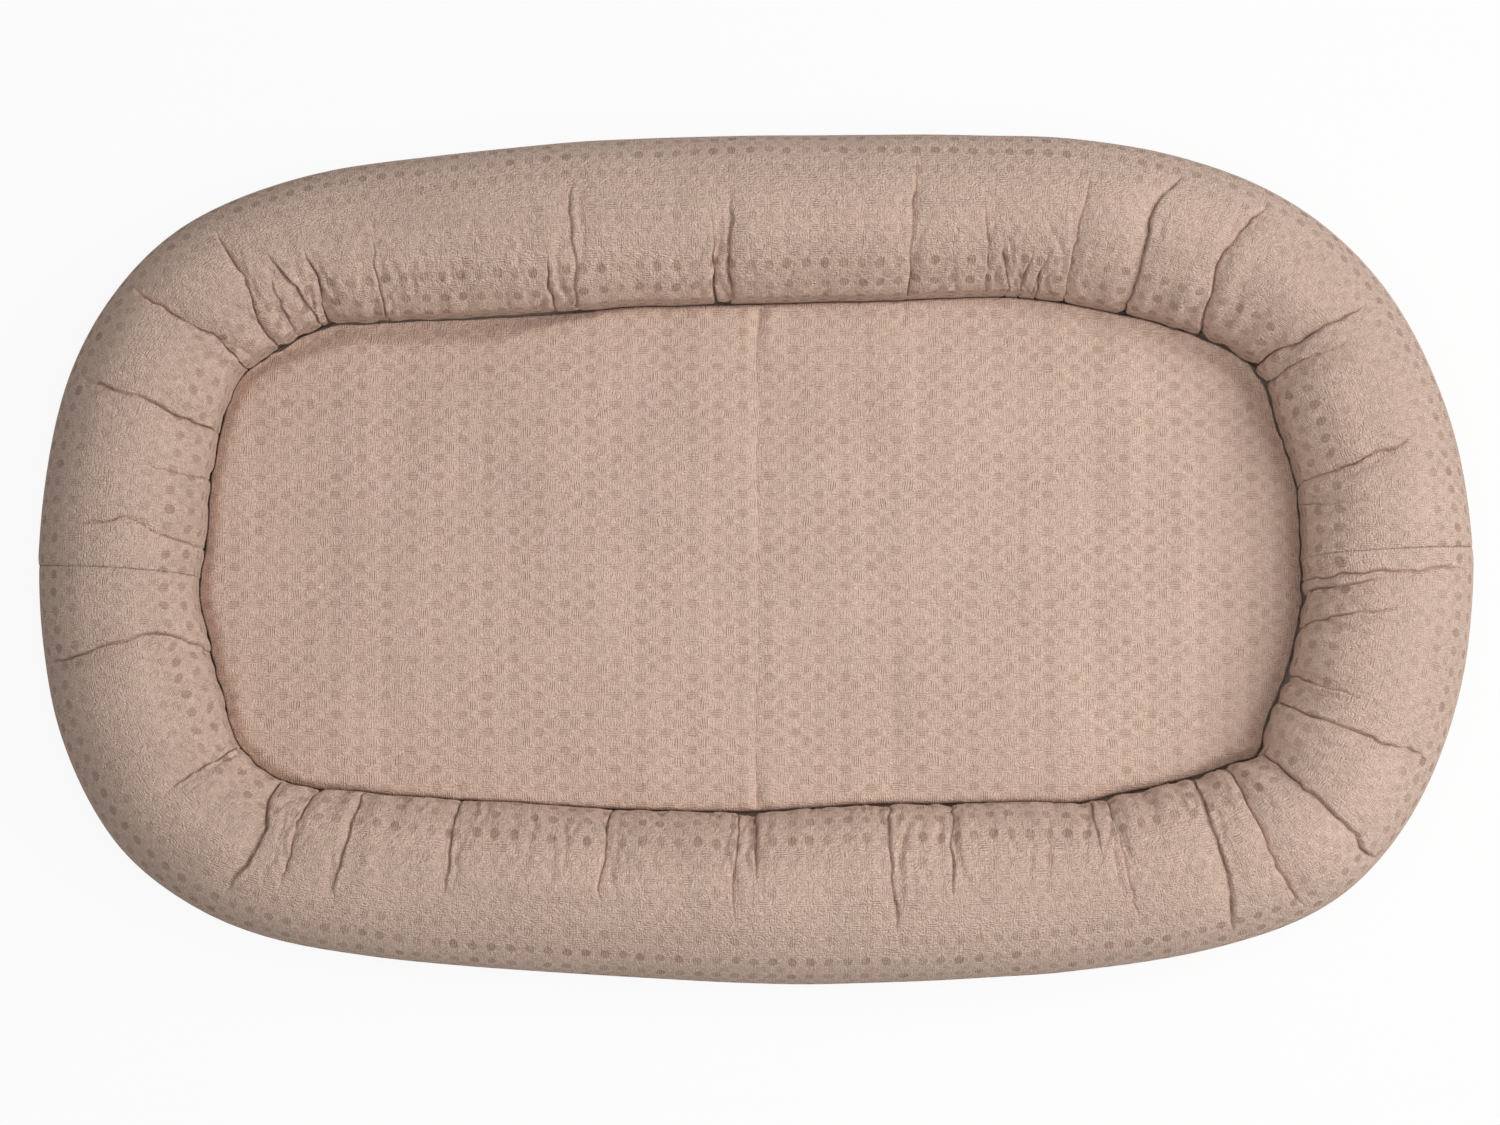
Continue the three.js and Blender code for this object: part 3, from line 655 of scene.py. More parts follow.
def dobby_cotton(name):
    material, shader = new_material(name, Roughness=0.9, IOR=1.5, Sheen_Weight=0.32, Sheen_Roughness=0.45,
                                    Sheen_Tint=linear(cotton_sheen), Specular_IOR_Level=0.25)
    node = partial(add_node, material)
    cloth = node("UVMap", uv_map="cloth")
    strength, crinkled = (node("Attribute", out="Fac", attribute_name=attribute)
                          for attribute in ("dot_strength", "crinkled"))
    layers = {}
    for layer, across, along, detail in dobby_patterns:
        place = node("VectorMath", (cloth, (across, along, 1)), operation="MULTIPLY")
        layers[layer] = node("TexNoise", {"Vector": place, "Scale": 1.0, "Detail": detail},
                             noise_dimensions="2D")

    # Each motif lies in its own cell of the repeat, and the cells drift a little
    moved = layers["drift"].node.outputs["Color"]
    for operation, by in (("SUBTRACT", (0.5, 0.5, 0.5)), ("MULTIPLY", dobby_drift), ("ADD", cloth),
                          ("DIVIDE", dobby_repeat)):
        moved = node("VectorMath", (moved, by), operation=operation)
    within, reach = {}, {}
    for motif, shift, across, along, outside, inside, chance_share, least in dobby_motifs:
        cell = node("VectorMath", (moved, (shift, shift, 0)), operation="ADD")
        number = node("VectorMath", (cell,), operation="FLOOR")
        chance = node("TexWhiteNoise", {"Vector": number}, noise_dimensions="2D")
        chance = node("Math", (chance, chance_share, least), operation="MULTIPLY_ADD")
        cell = node("VectorMath", (cell,), operation="FRACTION")
        cell = node("VectorMath", (cell, (0.5, 0.5, 0)), operation="SUBTRACT")
        cell = node("VectorMath", (cell, dobby_repeat), operation="MULTIPLY")
        within[motif] = node("SeparateXYZ", (cell,)).node.outputs
        cell = node("VectorMath", (cell, (across / 2, along / 2, 1)), operation="DIVIDE")
        reach[motif] = node("VectorMath", (cell,), out="Value", operation="LENGTH")
        edge = node("MapRange", (reach[motif], outside, inside), interpolation_type="SMOOTHSTEP")
        layers[motif] = node("Math", (edge, chance), operation="MULTIPLY")
    layers["oval"] = node("Math", (layers["oval"], strength), operation="MULTIPLY")
    stronger = node("Math", (strength, 0.3, 0.85), operation="MULTIPLY_ADD")
    layers["group"] = node("Math", (layers["group"], stronger), operation="MULTIPLY")

    # Threads as waves, each with a painted highlight along its crown and painted shade beside it: across in
    # the ovals, along in the groups, and as rays in a ring round each oval
    edges = [node("MapRange", (reach["oval"], outside, inside), interpolation_type="SMOOTHSTEP")
             for outside, inside in ((1.5, 0.8), (0.9, 1.3), (2.3, 1.6))]
    ray_ring = node("Math", edges[1:], operation="MULTIPLY")
    around = node("Math", (within["oval"]["Y"], within["oval"]["X"]), operation="ARCTAN2")
    turns = 2 * math.pi / thread_pair
    for layer, along, often, unevenness, where in (
            ("oval_threads", within["oval"]["Y"], turns, 4.0, edges[0]),
            ("group_threads", within["group"]["X"], turns, 3.5, layers["group"]),
            ("rays", around, rays_round_oval, 9.0, ray_ring)):
        phase = node("Math", (layers["wobble"], unevenness), operation="MULTIPLY")
        phase = node("Math", (along, often, phase), operation="MULTIPLY_ADD")
        wave = node("Math", (phase,), operation="SINE")
        layers[layer] = node("Math", (wave, where), operation="MULTIPLY")

    slubs = node("Math", (layers["slubs_along"], layers["slubs_across"]), operation="ADD")
    slubs = node("Math", (slubs, 1.0), operation="SUBTRACT")
    stronger = node("Math", (strength, 0.4, 0.9), operation="MULTIPLY_ADD")
    layers["slubs"] = node("Math", (slubs, stronger), operation="MULTIPLY")
    for layer in ("bands", "cloud", "wrinkles"):
        layers[layer] = node("Math", (layers[layer], 0.5), operation="SUBTRACT")
    wrinkles = node("Math", (layers["wrinkles"],), operation="ABSOLUTE")
    layers["wrinkles"] = node("Math", (wrinkles, crinkled), operation="MULTIPLY")

    # The tone holds the cloth's own bands, cloud and group tone, and the painted highlights and shade of the
    # threads and slubs
    tone, height = 1.0, 0.0
    for layer, weight in dobby_tones:
        tone = node("Math", (layers[layer], weight, tone), operation="MULTIPLY_ADD")
    for layer, weight in dobby_heights:
        height = node("Math", (layers[layer], weight, height), operation="MULTIPLY_ADD")
    colour = linear(cotton_ground)
    for other, share in ((cotton_beige, layers["dye"]), (cotton_oval, layers["oval"])):
        colour = node("Mix", {6: colour, 7: linear(other), 0: share}, out=2, data_type="RGBA")
    colour = node("HueSaturation", {"Value": tone, "Color": colour})
    colour_and_bump(material, shader, colour, height, cotton_bump, 0.8)
    return material


cotton = dobby_cotton("dobby_cotton_stone_pink")


# How strongly the dots show and the cloth crinkles, as attributes that the cotton reads
def paint_dots(piece, strength, crinkled):
    for name, value in (("dot_strength", strength), ("crinkled", crinkled)):
        layer = piece.data.attributes.new(name, "FLOAT", "POINT")
        layer.data.foreach_set("value", np.full(len(piece.data.vertices), value, dtype=np.float32))


gored_angles = (95, 140)
outer_reach = 0.6 * ring_width / 2


# The weave along the tube: cloth is as long as the outer side, and what is too much on the inner side is
# folded into the creases, so between two creases the weave keeps its scale
def cloth_along(run, angle, half_name):
    first = half_ends[half_name][0].min()
    steps = np.linspace(first - 20 * mm, first + ring_run / 2 + 60 * mm, 1200)
    length = np.concatenate([[0], np.cumsum((1 + outer_reach * bend_of(steps)[1:]) * np.diff(steps))])
    outer = np.interp(run, steps, length)
    found = [crease["line"] for crease in half_creases[half_name]]
    order = sum(run > np.interp(angle, whole_angles, line) for line in found)
    limits = np.array([steps[0]] + [line.mean() for line in found] + [steps[-1]])
    outer_middle = np.interp((limits[:-1] + limits[1:])[order] / 2, steps, length)
    bend = bend_of(run)
    local = (1 + np.cos(np.radians(angle)) * ring_width / 2 * bend) / (1 + outer_reach * bend)
    gored = outer_middle + (outer - outer_middle) * local
    share = smooth_step(*gored_angles, angle)
    return outer * (1 - share) + gored * share


def lay_weave(piece, across, along):
    i, j = face_corners(across.shape)
    places = np.stack([across[i, j], along[i, j]], axis=-1)
    piece.data.uv_layers.new(name="cloth").data.foreach_set("uv", places.reshape(-1))


dots_return = (18, 46)
ring_moves = {half_name: settled_moves(half_name) for half_name in half_ends}
for half_name, seed in (("back", 31), ("front", 32)):
    points, run, angle = cover_grid(half_name, ring_moves[half_name], seed)
    cover = grid_mesh("ring_cover_" + half_name + "_cloth", points)
    lay_weave(cover, angle / 360 * section_girth, cloth_along(run, angle, half_name))
    # The dots fade where the cloth is stretched, within some degrees of the crest
    dots = 0.3 + 0.7 * smooth_step(*dots_return, np.abs(angle - crest_angle))
    paint_dots(cover, dots.ravel(), 1.0)
    give_thickness(cover, cover_thickness)
    cover.data.materials.append(cotton)
    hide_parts("ring_cover_" + half_name)
    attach(cover, "nest")


# Ring filling casing
# A thin bag of white nonwoven cloth that keeps the loose fibre together inside the cotton. It lies just
# inside the cover and follows its creases, but more roundly.
casing_inset = 5 * mm
casing_columns = 200
casing_angles = np.arange(foot_angle, seam_angle, 7.5)
casing_thickness = 0.8 * mm
inner_valley_width = 12 * mm
inner_valley_share = 1.7
inner_lumps = 0.6 * mm


def inner_roll(inset, seed):
    halves = []
    for half_name, ends in half_ends.items():
        runs = np.linspace(ends[0].mean(), ends[1].mean(), casing_columns)
        run, angle = np.meshgrid(runs, casing_angles, indexing="ij")
        off = crease_valleys(run, angle, half_name, inner_valley_width) * inner_valley_share - inset
        off -= (1 + rumple(run, angle, 30 * mm, 20, seed)) * inner_lumps
        halves.append(np.maximum(section_point(run, angle, off), (-1, -1, inset)))
    return np.concatenate([halves[0], halves[1][1:]])


def edit_mesh(piece, *steps):
    select_only(piece)
    bpy.ops.object.mode_set(mode="EDIT")
    bpy.ops.mesh.select_all(action="SELECT")
    for step in steps:
        step()
    bpy.ops.object.mode_set(mode="OBJECT")


def weld(piece):
    edit_mesh(piece, partial(bpy.ops.mesh.remove_doubles, threshold=0.02 * mm),
              partial(bpy.ops.mesh.normals_make_consistent, inside=False))


# The colour grows lighter and darker with a pattern
def toned(material, hex_colour, pattern, tones, reach=(0.0, 1.0)):
    tone = add_node(material, "MapRange", (pattern, *reach, *tones))
    return add_node(material, "HueSaturation", {"Value": tone, "Color": linear(hex_colour)})


# Matted fibres: fine noise stretched two ways, one way for each lay of the fibres
def fibre_mat(name, hex_colour, strand, depth):
    material, shader = new_material(name, Roughness=0.95, Sheen_Weight=0.3, Sheen_Roughness=0.6)
    place = add_node(material, "TexCoord", out="Object")
    lays = []
    for turned in (math.radians(35), math.radians(-50)):
        stretched = add_node(material, "Mapping", {"Vector": place, "Rotation": (0.3, 0.2, turned),
                                                   "Scale": (1 / strand, 0.15 / strand, 1)})
        lays.append(add_node(material, "TexNoise", {"Vector": stretched, "Scale": 1.0, "Detail": 3.0,
                                                    "Roughness": 0.6}))
    matted = add_node(material, "Math", lays, operation="MAXIMUM")
    colour = toned(material, hex_colour, matted, (0.82, 1.04), (0.35, 0.75))
    colour_and_bump(material, shader, colour, matted, depth, 0.8)
    return material


casing = grid_mesh("ring_filling_casing_cloth", inner_roll(casing_inset, 41))
weld(casing)
give_thickness(casing, casing_thickness)
casing.data.materials.append(fibre_mat("nonwoven_polyester_bonded", "efede8", 1.1 * mm, 0.4 * mm))
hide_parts("ring_filling_casing")
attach(casing, "nest")


# Ring filling
# Siliconised hollow polyester fibre, blown in until the ring is firm: a soft lumpy roll inside its bag.
filling_inset = casing_inset + 1.6 * mm
filling = grid_mesh("ring_fibre_filling_roll", inner_roll(filling_inset, 43))
weld(filling)
bpy.ops.object.shade_smooth()
fibre = fibre_mat("polyester_fibre_carded", "f6f5f1", 2.2 * mm, 1.2 * mm)
filling.data.materials.append(fibre)
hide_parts("ring_fibre_filling")
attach(filling, "nest")


# Seam binding
# A woven cotton tape rolled round the raw seam where the ring's gathered edge meets the base.
base_height = 5 * mm
seam_setback = 6 * mm
seam_reach_share = 1 - seam_setback / (ring_width / 2)
binding_gap = 0.3 * mm
binding_width = 34 * mm
binding_low, binding_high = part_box("ring_seam_binding")
binding_stations = 560
binding_points_round = 20
blunt_corner = 0.6


# Plain or twill weave: the threads that lie on top are round, and painted shade darkens them where they dip
# under the next
def woven_cloth(name, hex_colour, hex_painted_shade, thread, twill=False, along_edge=False):
    material, shader = new_material(name, Roughness=0.88, Sheen_Weight=0.2, Sheen_Roughness=0.5)
    node = partial(add_node, material)
    place = node("UVMap", uv_map="cloth") if along_edge else node("TexCoord", out="Object")
    threads = node("VectorMath", {0: place, "Scale": 1 / thread}, operation="SCALE")
    count, within = (node("SeparateXYZ", (node("VectorMath", (threads,), operation=part),)).node.outputs
                     for part in ("FLOOR", "FRACTION"))
    crossing = node("Math", (count["X"], count["Y"]), operation="ADD")
    repeat = 4.0 if twill else 2.0
    over = node("Math", (crossing, repeat), operation="FLOORED_MODULO")
    over = node("Math", (over, repeat / 2), operation="LESS_THAN")
    rounds = []
    for axis in ("X", "Y"):
        half_turn = node("Math", (within[axis], math.pi), operation="MULTIPLY")
        rounds.append(node("Math", (half_turn,), operation="SINE"))
    height = node("Mix", {0: over, 2: rounds[0], 3: rounds[1]}, data_type="FLOAT")
    uneven = node("TexNoise", {"Vector": place, "Scale": 60.0, "Detail": 3.0})
    uneven = node("Math", (uneven, 0.3), operation="MULTIPLY")
    # Painted shade: the colour goes towards the painted shade colour where the threads are low
    tone = node("Math", (height, 0.75, uneven), operation="MULTIPLY_ADD")
    colour = node("Mix", {6: linear(hex_painted_shade), 7: linear(hex_colour), 0: tone}, out=2, data_type="RGBA")
    colour_and_bump(material, shader, colour, height, thread * 0.3, 0.7)
    return material


def wall_reach(half, height):
    return half * np.sqrt(1 - ((height - section_centre) / section_half_height) ** 2)


# The binding fills the wedge between the ring's wall and the base, so it is a roll with blunt corners
def binding_points(run, share):
    half = half_width(run)
    cosine, sine = np.cos(share * 2 * math.pi), np.sin(share * 2 * math.pi)
    rise = (binding_high.z - binding_low.z) / 2
    z = (binding_low.z + binding_high.z) / 2 + rise * np.sign(sine) * np.abs(sine) ** blunt_corner
    wall = wall_reach(half, z) + 2 * binding_gap
    inside = half * seam_reach_share - binding_gap
    reach = (wall + inside) / 2 - (inside - wall) / 2 * np.sign(cosine) * np.abs(cosine) ** blunt_corner
    return ring_point(run, -reach, z)


run, share = np.meshgrid(np.linspace(0, ring_run, binding_stations + 1),
                         np.arange(binding_points_round) / binding_points_round, indexing="ij")
binding = grid_mesh("ring_seam_binding_tape", binding_points(run, share))
lay_weave(binding, share * binding_width, run)
weld(binding)
bpy.ops.object.shade_smooth()
# The tape's threads are 0.35 mm apart and are drawn at 0.8 mm, so that they show
tape_cloth = woven_cloth("cotton_twill_tape", "c0a393", "8f7363", 0.8 * mm, twill=True, along_edge=True)
binding.data.materials.append(tape_cloth)
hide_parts("ring_seam_binding")
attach(binding, "nest")


# Underside panels
# Two halves of plain woven cotton, sewn to the ring all round and to the two tapes of the zip between them.
panel_fabric = 1.2 * mm
panel_thickness_share = 0.9
panel_columns = 180
panel_rows = 40
panel_ripple = 0.2 * mm
slot_half_length = 255 * mm
slot_half_width = 6 * mm
slot_corner = 0.3 * mm
seam_gap = 0.15 * mm
plan_samples = 2000


# A quarter of the outline that lies a share of the ring's half width inside its centreline
def inside_outline(share_of_half):
    run = np.linspace(0, ring_run / 4, plan_samples)
    return ring_point(run, -half_width(run) * share_of_half)[:, :2].T


base_x, base_y = inside_outline(seam_reach_share)


def panel_points(side):
    around = np.linspace(-1, 1, panel_columns)
    x = (base_x.max() - 0.5 * mm) * np.sign(around) * (1 - (1 - np.abs(around)) ** 1.5)
    corners = [end * slot_half_length + beside for end in (1, -1) for beside in (-slot_corner, slot_corner)]
    x = np.sort(np.concatenate([x, corners]))
    low = np.where(np.abs(x) < slot_half_length, slot_half_width, seam_gap)
    high = np.maximum(np.interp(np.abs(x), base_x[::-1], base_y[::-1]), low + 0.2 * mm)
    x, share = np.meshgrid(x, np.linspace(0, 1, panel_rows), indexing="ij")
    y = low[:, None] + (high - low)[:, None] * share
    z = base_height + panel_fabric + (rumple(x, y, 50 * mm, 30 * mm, 51) - 1) * panel_ripple
    return np.stack([x, y * side, z], axis=-1)[::side]


# Plain woven lining cotton, 0.5 mm a thread, drawn at 1 mm so that the weave shows
lining = woven_cloth("plain_weave_cotton_lining", "dcc9bc", "b49d8e", 1.0 * mm)
for side, half_name in ((1, "back"), (-1, "front")):
    panel = grid_mesh("underside_panel_" + half_name + "_cloth", panel_points(side), closed=False)
    give_thickness(panel, panel_fabric * panel_thickness_share)
    panel.data.materials.append(lining)
    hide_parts("underside_panel_" + half_name)
    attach(panel, "nest")


# Base wadding
# A sheet of needled polyester wadding, cut to the base and caught in its seam all round.
wadding_rounding = 1.5 * mm
wadding_ripple = 0.3 * mm
pad_stations = 320
pad_ring_shares = 1 - np.linspace(0, 1, 14)[:-1] ** 1.3


# A flat pad with a rounded edge: its underside from the middle outwards, its edge and its upper side
def base_pad(name, node_name, rounding, ripple, seed):
    low, high = (corner.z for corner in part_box(node_name))
    runs = np.arange(pad_stations) / pad_stations * ring_run
    rows = []
    under = [(share, -90) for share in pad_ring_shares[:0:-1]]
    edge = [(1.0, turn) for turn in np.linspace(-90, 90, 9)]
    over = [(share, 90) for share in pad_ring_shares[1:]]
    for shrink, turn in under + edge + over:
        reach = half_width(runs) * seam_reach_share + rounding * (1 - math.cos(math.radians(turn)))
        row = ring_point(runs, -reach) * shrink
        lift = rumple(row[:, 0], row[:, 1], 30 * mm, 30 * mm, seed) * ripple * (abs(turn) == 90)
        rise = (high - low) / 2 * math.sin(math.radians(turn))
        row[:, 2] = (low + high) / 2 + rise + lift * np.sign(turn)
        rows.append(row)
    piece = grid_mesh(name, np.stack(rows))
    close_holes(piece)
    return piece


def close_holes(piece):
    edit_mesh(piece, partial(bpy.ops.mesh.fill_holes, sides=0),
              partial(bpy.ops.mesh.normals_make_consistent, inside=False))
    bpy.ops.object.shade_smooth()


wadding = base_pad("base_wadding_sheet", "base_wadding", wadding_rounding, wadding_ripple, 61)
wadding.data.materials.append(fibre)
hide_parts("base_wadding")
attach(wadding, "nest")


# Floor panel
# One piece of plain cotton over the wadding, caught in the same seam. The mattress lies on it.
panel_rounding = 0.6 * mm
floor_ripple = 0.1 * mm
floor_panel = base_pad("base_floor_panel_cloth", "base_floor_panel", panel_rounding, floor_ripple, 63)
floor_panel.data.materials.append(lining)
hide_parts("base_floor_panel")
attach(floor_panel, "nest")


# Zip tapes
# Two woven polyester tapes in a herringbone twill, each folded over a little where the coil is sewn to it.
tape_low, tape_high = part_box("zip_tape_back")
tape_stations = 160
tape_roll = 0.32 * mm
tape_ripple = 0.04 * mm

# Tape threads are 0.3 mm apart and are drawn at 0.7 mm
zip_cloth = woven_cloth("polyester_herringbone_tape", "c2a595", "947766", 0.7 * mm, twill=True)
turn = np.radians(np.arange(0, 360, 45))
bend_up = (tape_low.z + tape_high.z) / 2 + (tape_high.z - tape_low.z) / 2 * np.sin(turn)
inner_end = np.stack([tape_low.y + tape_roll + tape_roll * np.cos(turn), bend_up], axis=1)
outer_end = np.stack([tape_high.y - tape_roll + tape_roll * np.cos(turn), bend_up], axis=1)
between = np.linspace(tape_low.y + 2 * tape_roll, tape_high.y - 2 * tape_roll, 8)
upper_side = np.stack([between[::-1], np.full(8, tape_high.z)], axis=1)
under_side = np.stack([between, np.full(8, tape_low.z)], axis=1)
tape_profile = np.concatenate([outer_end[[6, 7, 0, 1, 2]], upper_side, inner_end[2:7], under_side])
tape_x = np.linspace(tape_low.x, tape_high.x, tape_stations)
for side, half_name in ((1, "back"), (-1, "front")):
    x, y = np.meshgrid(tape_x, tape_profile[:, 0] * side, indexing="ij")
    z = tape_profile[:, 1] + rumple(x, y, 20 * mm, 50 * mm, 81) * tape_ripple
    tape = grid_mesh("zip_tape_" + half_name + "_cloth", np.stack([x, y, z], axis=-1))
    lay_weave(tape, y, x)
    close_holes(tape)
    tape.data.materials.append(zip_cloth)
    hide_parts("zip_tape_" + half_name)
    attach(tape, "nest")


# Zip coils
# A polyester thread as thick as fishing line, wound into a flattened spiral and sewn to a thin woven band
# along the edge of each tape. The turns of the two coils stand between one another.
coil_low, coil_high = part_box("zip_coil_back")
coil_pitch = 1.5 * mm
coil_wire = 0.34 * mm
coil_near_edge = 0.45 * mm
coil_band_gap = 0.02 * mm
coil_band_thick = 0.12 * mm
coil_band_far_edge = tape_low.y - 2 * coil_band_gap
coil_reach = (coil_high.y - coil_near_edge) / 2 - coil_wire
coil_rise = (coil_high.z - coil_low.z) / 2 - coil_wire
coil_length = coil_high.x - coil_low.x


def settle_in_mesh(piece):
    select_only(piece)
    bpy.ops.object.transform_apply(location=True, rotation=True, scale=True)


def join(pieces, name):
    bpy.ops.object.select_all(action="DESELECT")
    for piece in pieces:
        piece.select_set(True)
    bpy.context.view_layer.objects.active = pieces[0]
    bpy.ops.object.join()
    pieces[0].name = name
    return pieces[0]


# Drawn and dyed thread: smooth, with a soft gloss, and slightly uneven in colour
coil_plastic, coil_shader = new_material("polyester_monofilament_dyed", Roughness=0.38, IOR=1.57)
coil_place = add_node(coil_plastic, "TexCoord", out="Object")
coil_tone = add_node(coil_plastic, "TexNoise", {"Vector": coil_place, "Scale": 160.0})
coil_tone = {6: linear("b3937f"), 7: linear("cdb2a2"), 0: coil_tone}
feed(coil_shader.inputs["Base Color"], add_node(coil_plastic, "Mix", coil_tone, out=2, data_type="RGBA"))
for side, half_name in ((1, "back"), (-1, "front")):
    bpy.ops.mesh.primitive_circle_add(vertices=6, radius=coil_wire, location=(0, 0, coil_reach),
                                      rotation=(math.radians(90), 0, math.radians(90)))
    coil = bpy.context.object
    settle_in_mesh(coil)
    apply_modifier(coil, "SCREW", axis="X", angle=math.radians(360), screw_offset=coil_pitch,
                   iterations=int(coil_length / coil_pitch) - 1, steps=8, render_steps=8)
    coil.scale = (1, 1, coil_rise / coil_reach)
    coil.location = (coil_low.x + coil_wire + (coil_pitch / 2 if side < 0 else 0),
                     side * (coil_near_edge + coil_high.y) / 2, (coil_low.z + coil_high.z) / 2)
    settle_in_mesh(coil)
    close_holes(coil)
    bpy.ops.mesh.primitive_cylinder_add(vertices=16, radius=0.5, depth=coil_length - 2 * coil_pitch,
                                        rotation=(0, math.radians(90), 0), location=(0, 0, 0))
    band = bpy.context.object
    settle_in_mesh(band)
    band.scale = (1, coil_band_far_edge - coil_near_edge, coil_band_thick)
    band.location = (0, side * (coil_near_edge + coil_band_far_edge) / 2,
                     coil_high.z + coil_band_thick / 2 + coil_band_gap)
    settle_in_mesh(band)
    coil = join([coil, band], "zip_coil_" + half_name + "_spiral")
    coil.data.materials.append(coil_plastic)
    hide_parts("zip_coil_" + half_name)
    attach(coil, "nest")


# Zip stops
# Two small staples of zinc alloy pressed round both tapes, with two grooves from the pressing tool.
groove_width = 0.6 * mm
groove_depth = 0.25 * mm
stop_rounding = 0.25 * mm
past_face = 1 * mm


# Tumbled castings: patches that shine more and less, in a fine grain
def cast_zinc(name, hex_colour, roughness):
    material, shader = new_material(name, Metallic=1.0)
    place = add_node(material, "TexCoord", out="Object")
    grain = add_node(material, "TexNoise", {"Vector": place, "Scale": 1500.0, "Detail": 3.0})
    patches = add_node(material, "TexNoise", {"Vector": place, "Scale": 220.0, "Detail": 2.0})
    rough = add_node(material, "MapRange", {0: patches, 3: roughness - 0.07, 4: roughness + 0.1})
    feed(shader.inputs["Roughness"], rough)
    colour = toned(material, hex_colour, patches, (0.88, 1.08))
    colour_and_bump(material, shader, colour, grain, 0.05 * mm, 0.5)
    return material


def round_edges(piece, width):
    apply_modifier(piece, "BEVEL", width=width, segments=2, angle_limit=math.radians(35))
    bpy.ops.object.shade_smooth_by_angle(angle=math.radians(40))


def cut_away(piece, cutter):
    apply_modifier(piece, "BOOLEAN", object=cutter)
    bpy.data.objects.remove(cutter)


def block(low, high):
    low, high = Vector(low), Vector(high)
    bpy.ops.mesh.primitive_cube_add(size=1, location=(low + high) / 2)
    piece = bpy.context.object
    piece.scale = high - low
    settle_in_mesh(piece)
    return piece


zinc = cast_zinc("zinc_alloy_die_cast_satin", "aaa59d", 0.34)
for end_name in ("foot", "head"):
    low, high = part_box("zip_stop_" + end_name)
    stop = block(low, high)
    stop.name = "zip_stop_" + end_name + "_staple"
    for share in (0.33, 0.67):
        at = low.x + (high.x - low.x) * share
        cut_away(stop, block((at - groove_width / 2, low.y - past_face, high.z - groove_depth),
                             (at + groove_width / 2, high.y + past_face, high.z + past_face)))
    round_edges(stop, stop_rounding)
    stop.data.materials.append(zinc)
    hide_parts("zip_stop_" + end_name)
    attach(stop, "nest")


# Zip slider
# Die-cast in zinc alloy: two plates with a post between them, flanges that hold the coils and a lug for
# the tab. Tumbling in a barrel rounds its edges, which are sharp on the solid that it starts from.
slider_rounding = 0.22 * mm


def merged_copy(node_name, name):
    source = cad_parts[node_name]
    piece = source.copy()
    piece.data = source.data.copy()
    piece.name = name
    piece.data.materials.clear()
    bpy.context.scene.collection.objects.link(piece)
    edit_mesh(piece, partial(bpy.ops.mesh.remove_doubles, threshold=0.01 * mm),
              partial(bpy.ops.mesh.dissolve_limited, angle_limit=math.radians(2)))
    return piece


slider = merged_copy("zip_slider", "zip_slider_cast")
round_edges(slider, slider_rounding)
slider.data.materials.append(zinc)
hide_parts("zip_slider")
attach(slider, "slider")


# Pull tab
# A flat cast tab with a rounded end and a shallow sunk field on both faces. The bar at its other end passes
# through the slider's lug.
tab_low, tab_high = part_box("zip_pull_tab")
tab_field_depth = 0.2 * mm
tab_field_rim = 0.8 * mm
tab_field_start = 6.5 * mm
tab_rounding = 0.12 * mm


def rounded_tab(low, high, end_radius, near_radius):
    piece = block(low, high)
    bpy.ops.object.mode_set(mode="EDIT")
    bpy.ops.mesh.select_mode(type="EDGE")
    for at_x, radius in ((high[0], end_radius), (low[0], near_radius)):
        bpy.ops.mesh.select_all(action="DESELECT")
        shaping = bmesh.from_edit_mesh(piece.data)
        for edge in shaping.edges:
            upright = abs(edge.verts[0].co.z - edge.verts[1].co.z) > 0.5 * (high[2] - low[2])
            edge.select = upright and all(abs(v.co.x - at_x) < 0.1 * mm for v in edge.verts)
        bmesh.update_edit_mesh(piece.data)
        bpy.ops.mesh.bevel(offset=radius, segments=7)
    bpy.ops.object.mode_set(mode="OBJECT")
    return piece


tab = merged_copy("zip_pull_tab", "zip_pull_tab_cast")
for low_z, high_z in ((tab_high.z - tab_field_depth, tab_high.z + past_face),
                      (tab_low.z - past_face, tab_low.z + tab_field_depth)):
    cut_away(tab, rounded_tab((tab_low.x + tab_field_start, tab_low.y + tab_field_rim, low_z),
                              (tab_high.x - tab_field_rim, tab_high.y - tab_field_rim, high_z),
                              (tab_high.y - tab_field_rim) * 0.95, tab_field_rim))
round_edges(tab, tab_rounding)
tab.data.materials.append(zinc)
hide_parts("zip_pull_tab")
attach(tab, "pull")


# Topstitching of the underside
# Polyester thread, one row along each side of the zip and one across each end, through panels and tapes. A
# single stitch is modelled once and laid along the rows.
stitch_length = 2.6 * mm
stitch_step = 3.4 * mm
stitch_thick = 0.5 * mm
slot_stitch_row = 9.5 * mm
slot_stitch_end = 261 * mm
zip_stitch_sink = 0.12 * mm

bpy.ops.mesh.primitive_uv_sphere_add(segments=6, ring_count=5, radius=0.5)
one_stitch = bpy.context.object
one_stitch.rotation_euler = (0, math.radians(90), 0)
one_stitch.scale = (stitch_thick, stitch_thick, stitch_length)
settle_in_mesh(one_stitch)


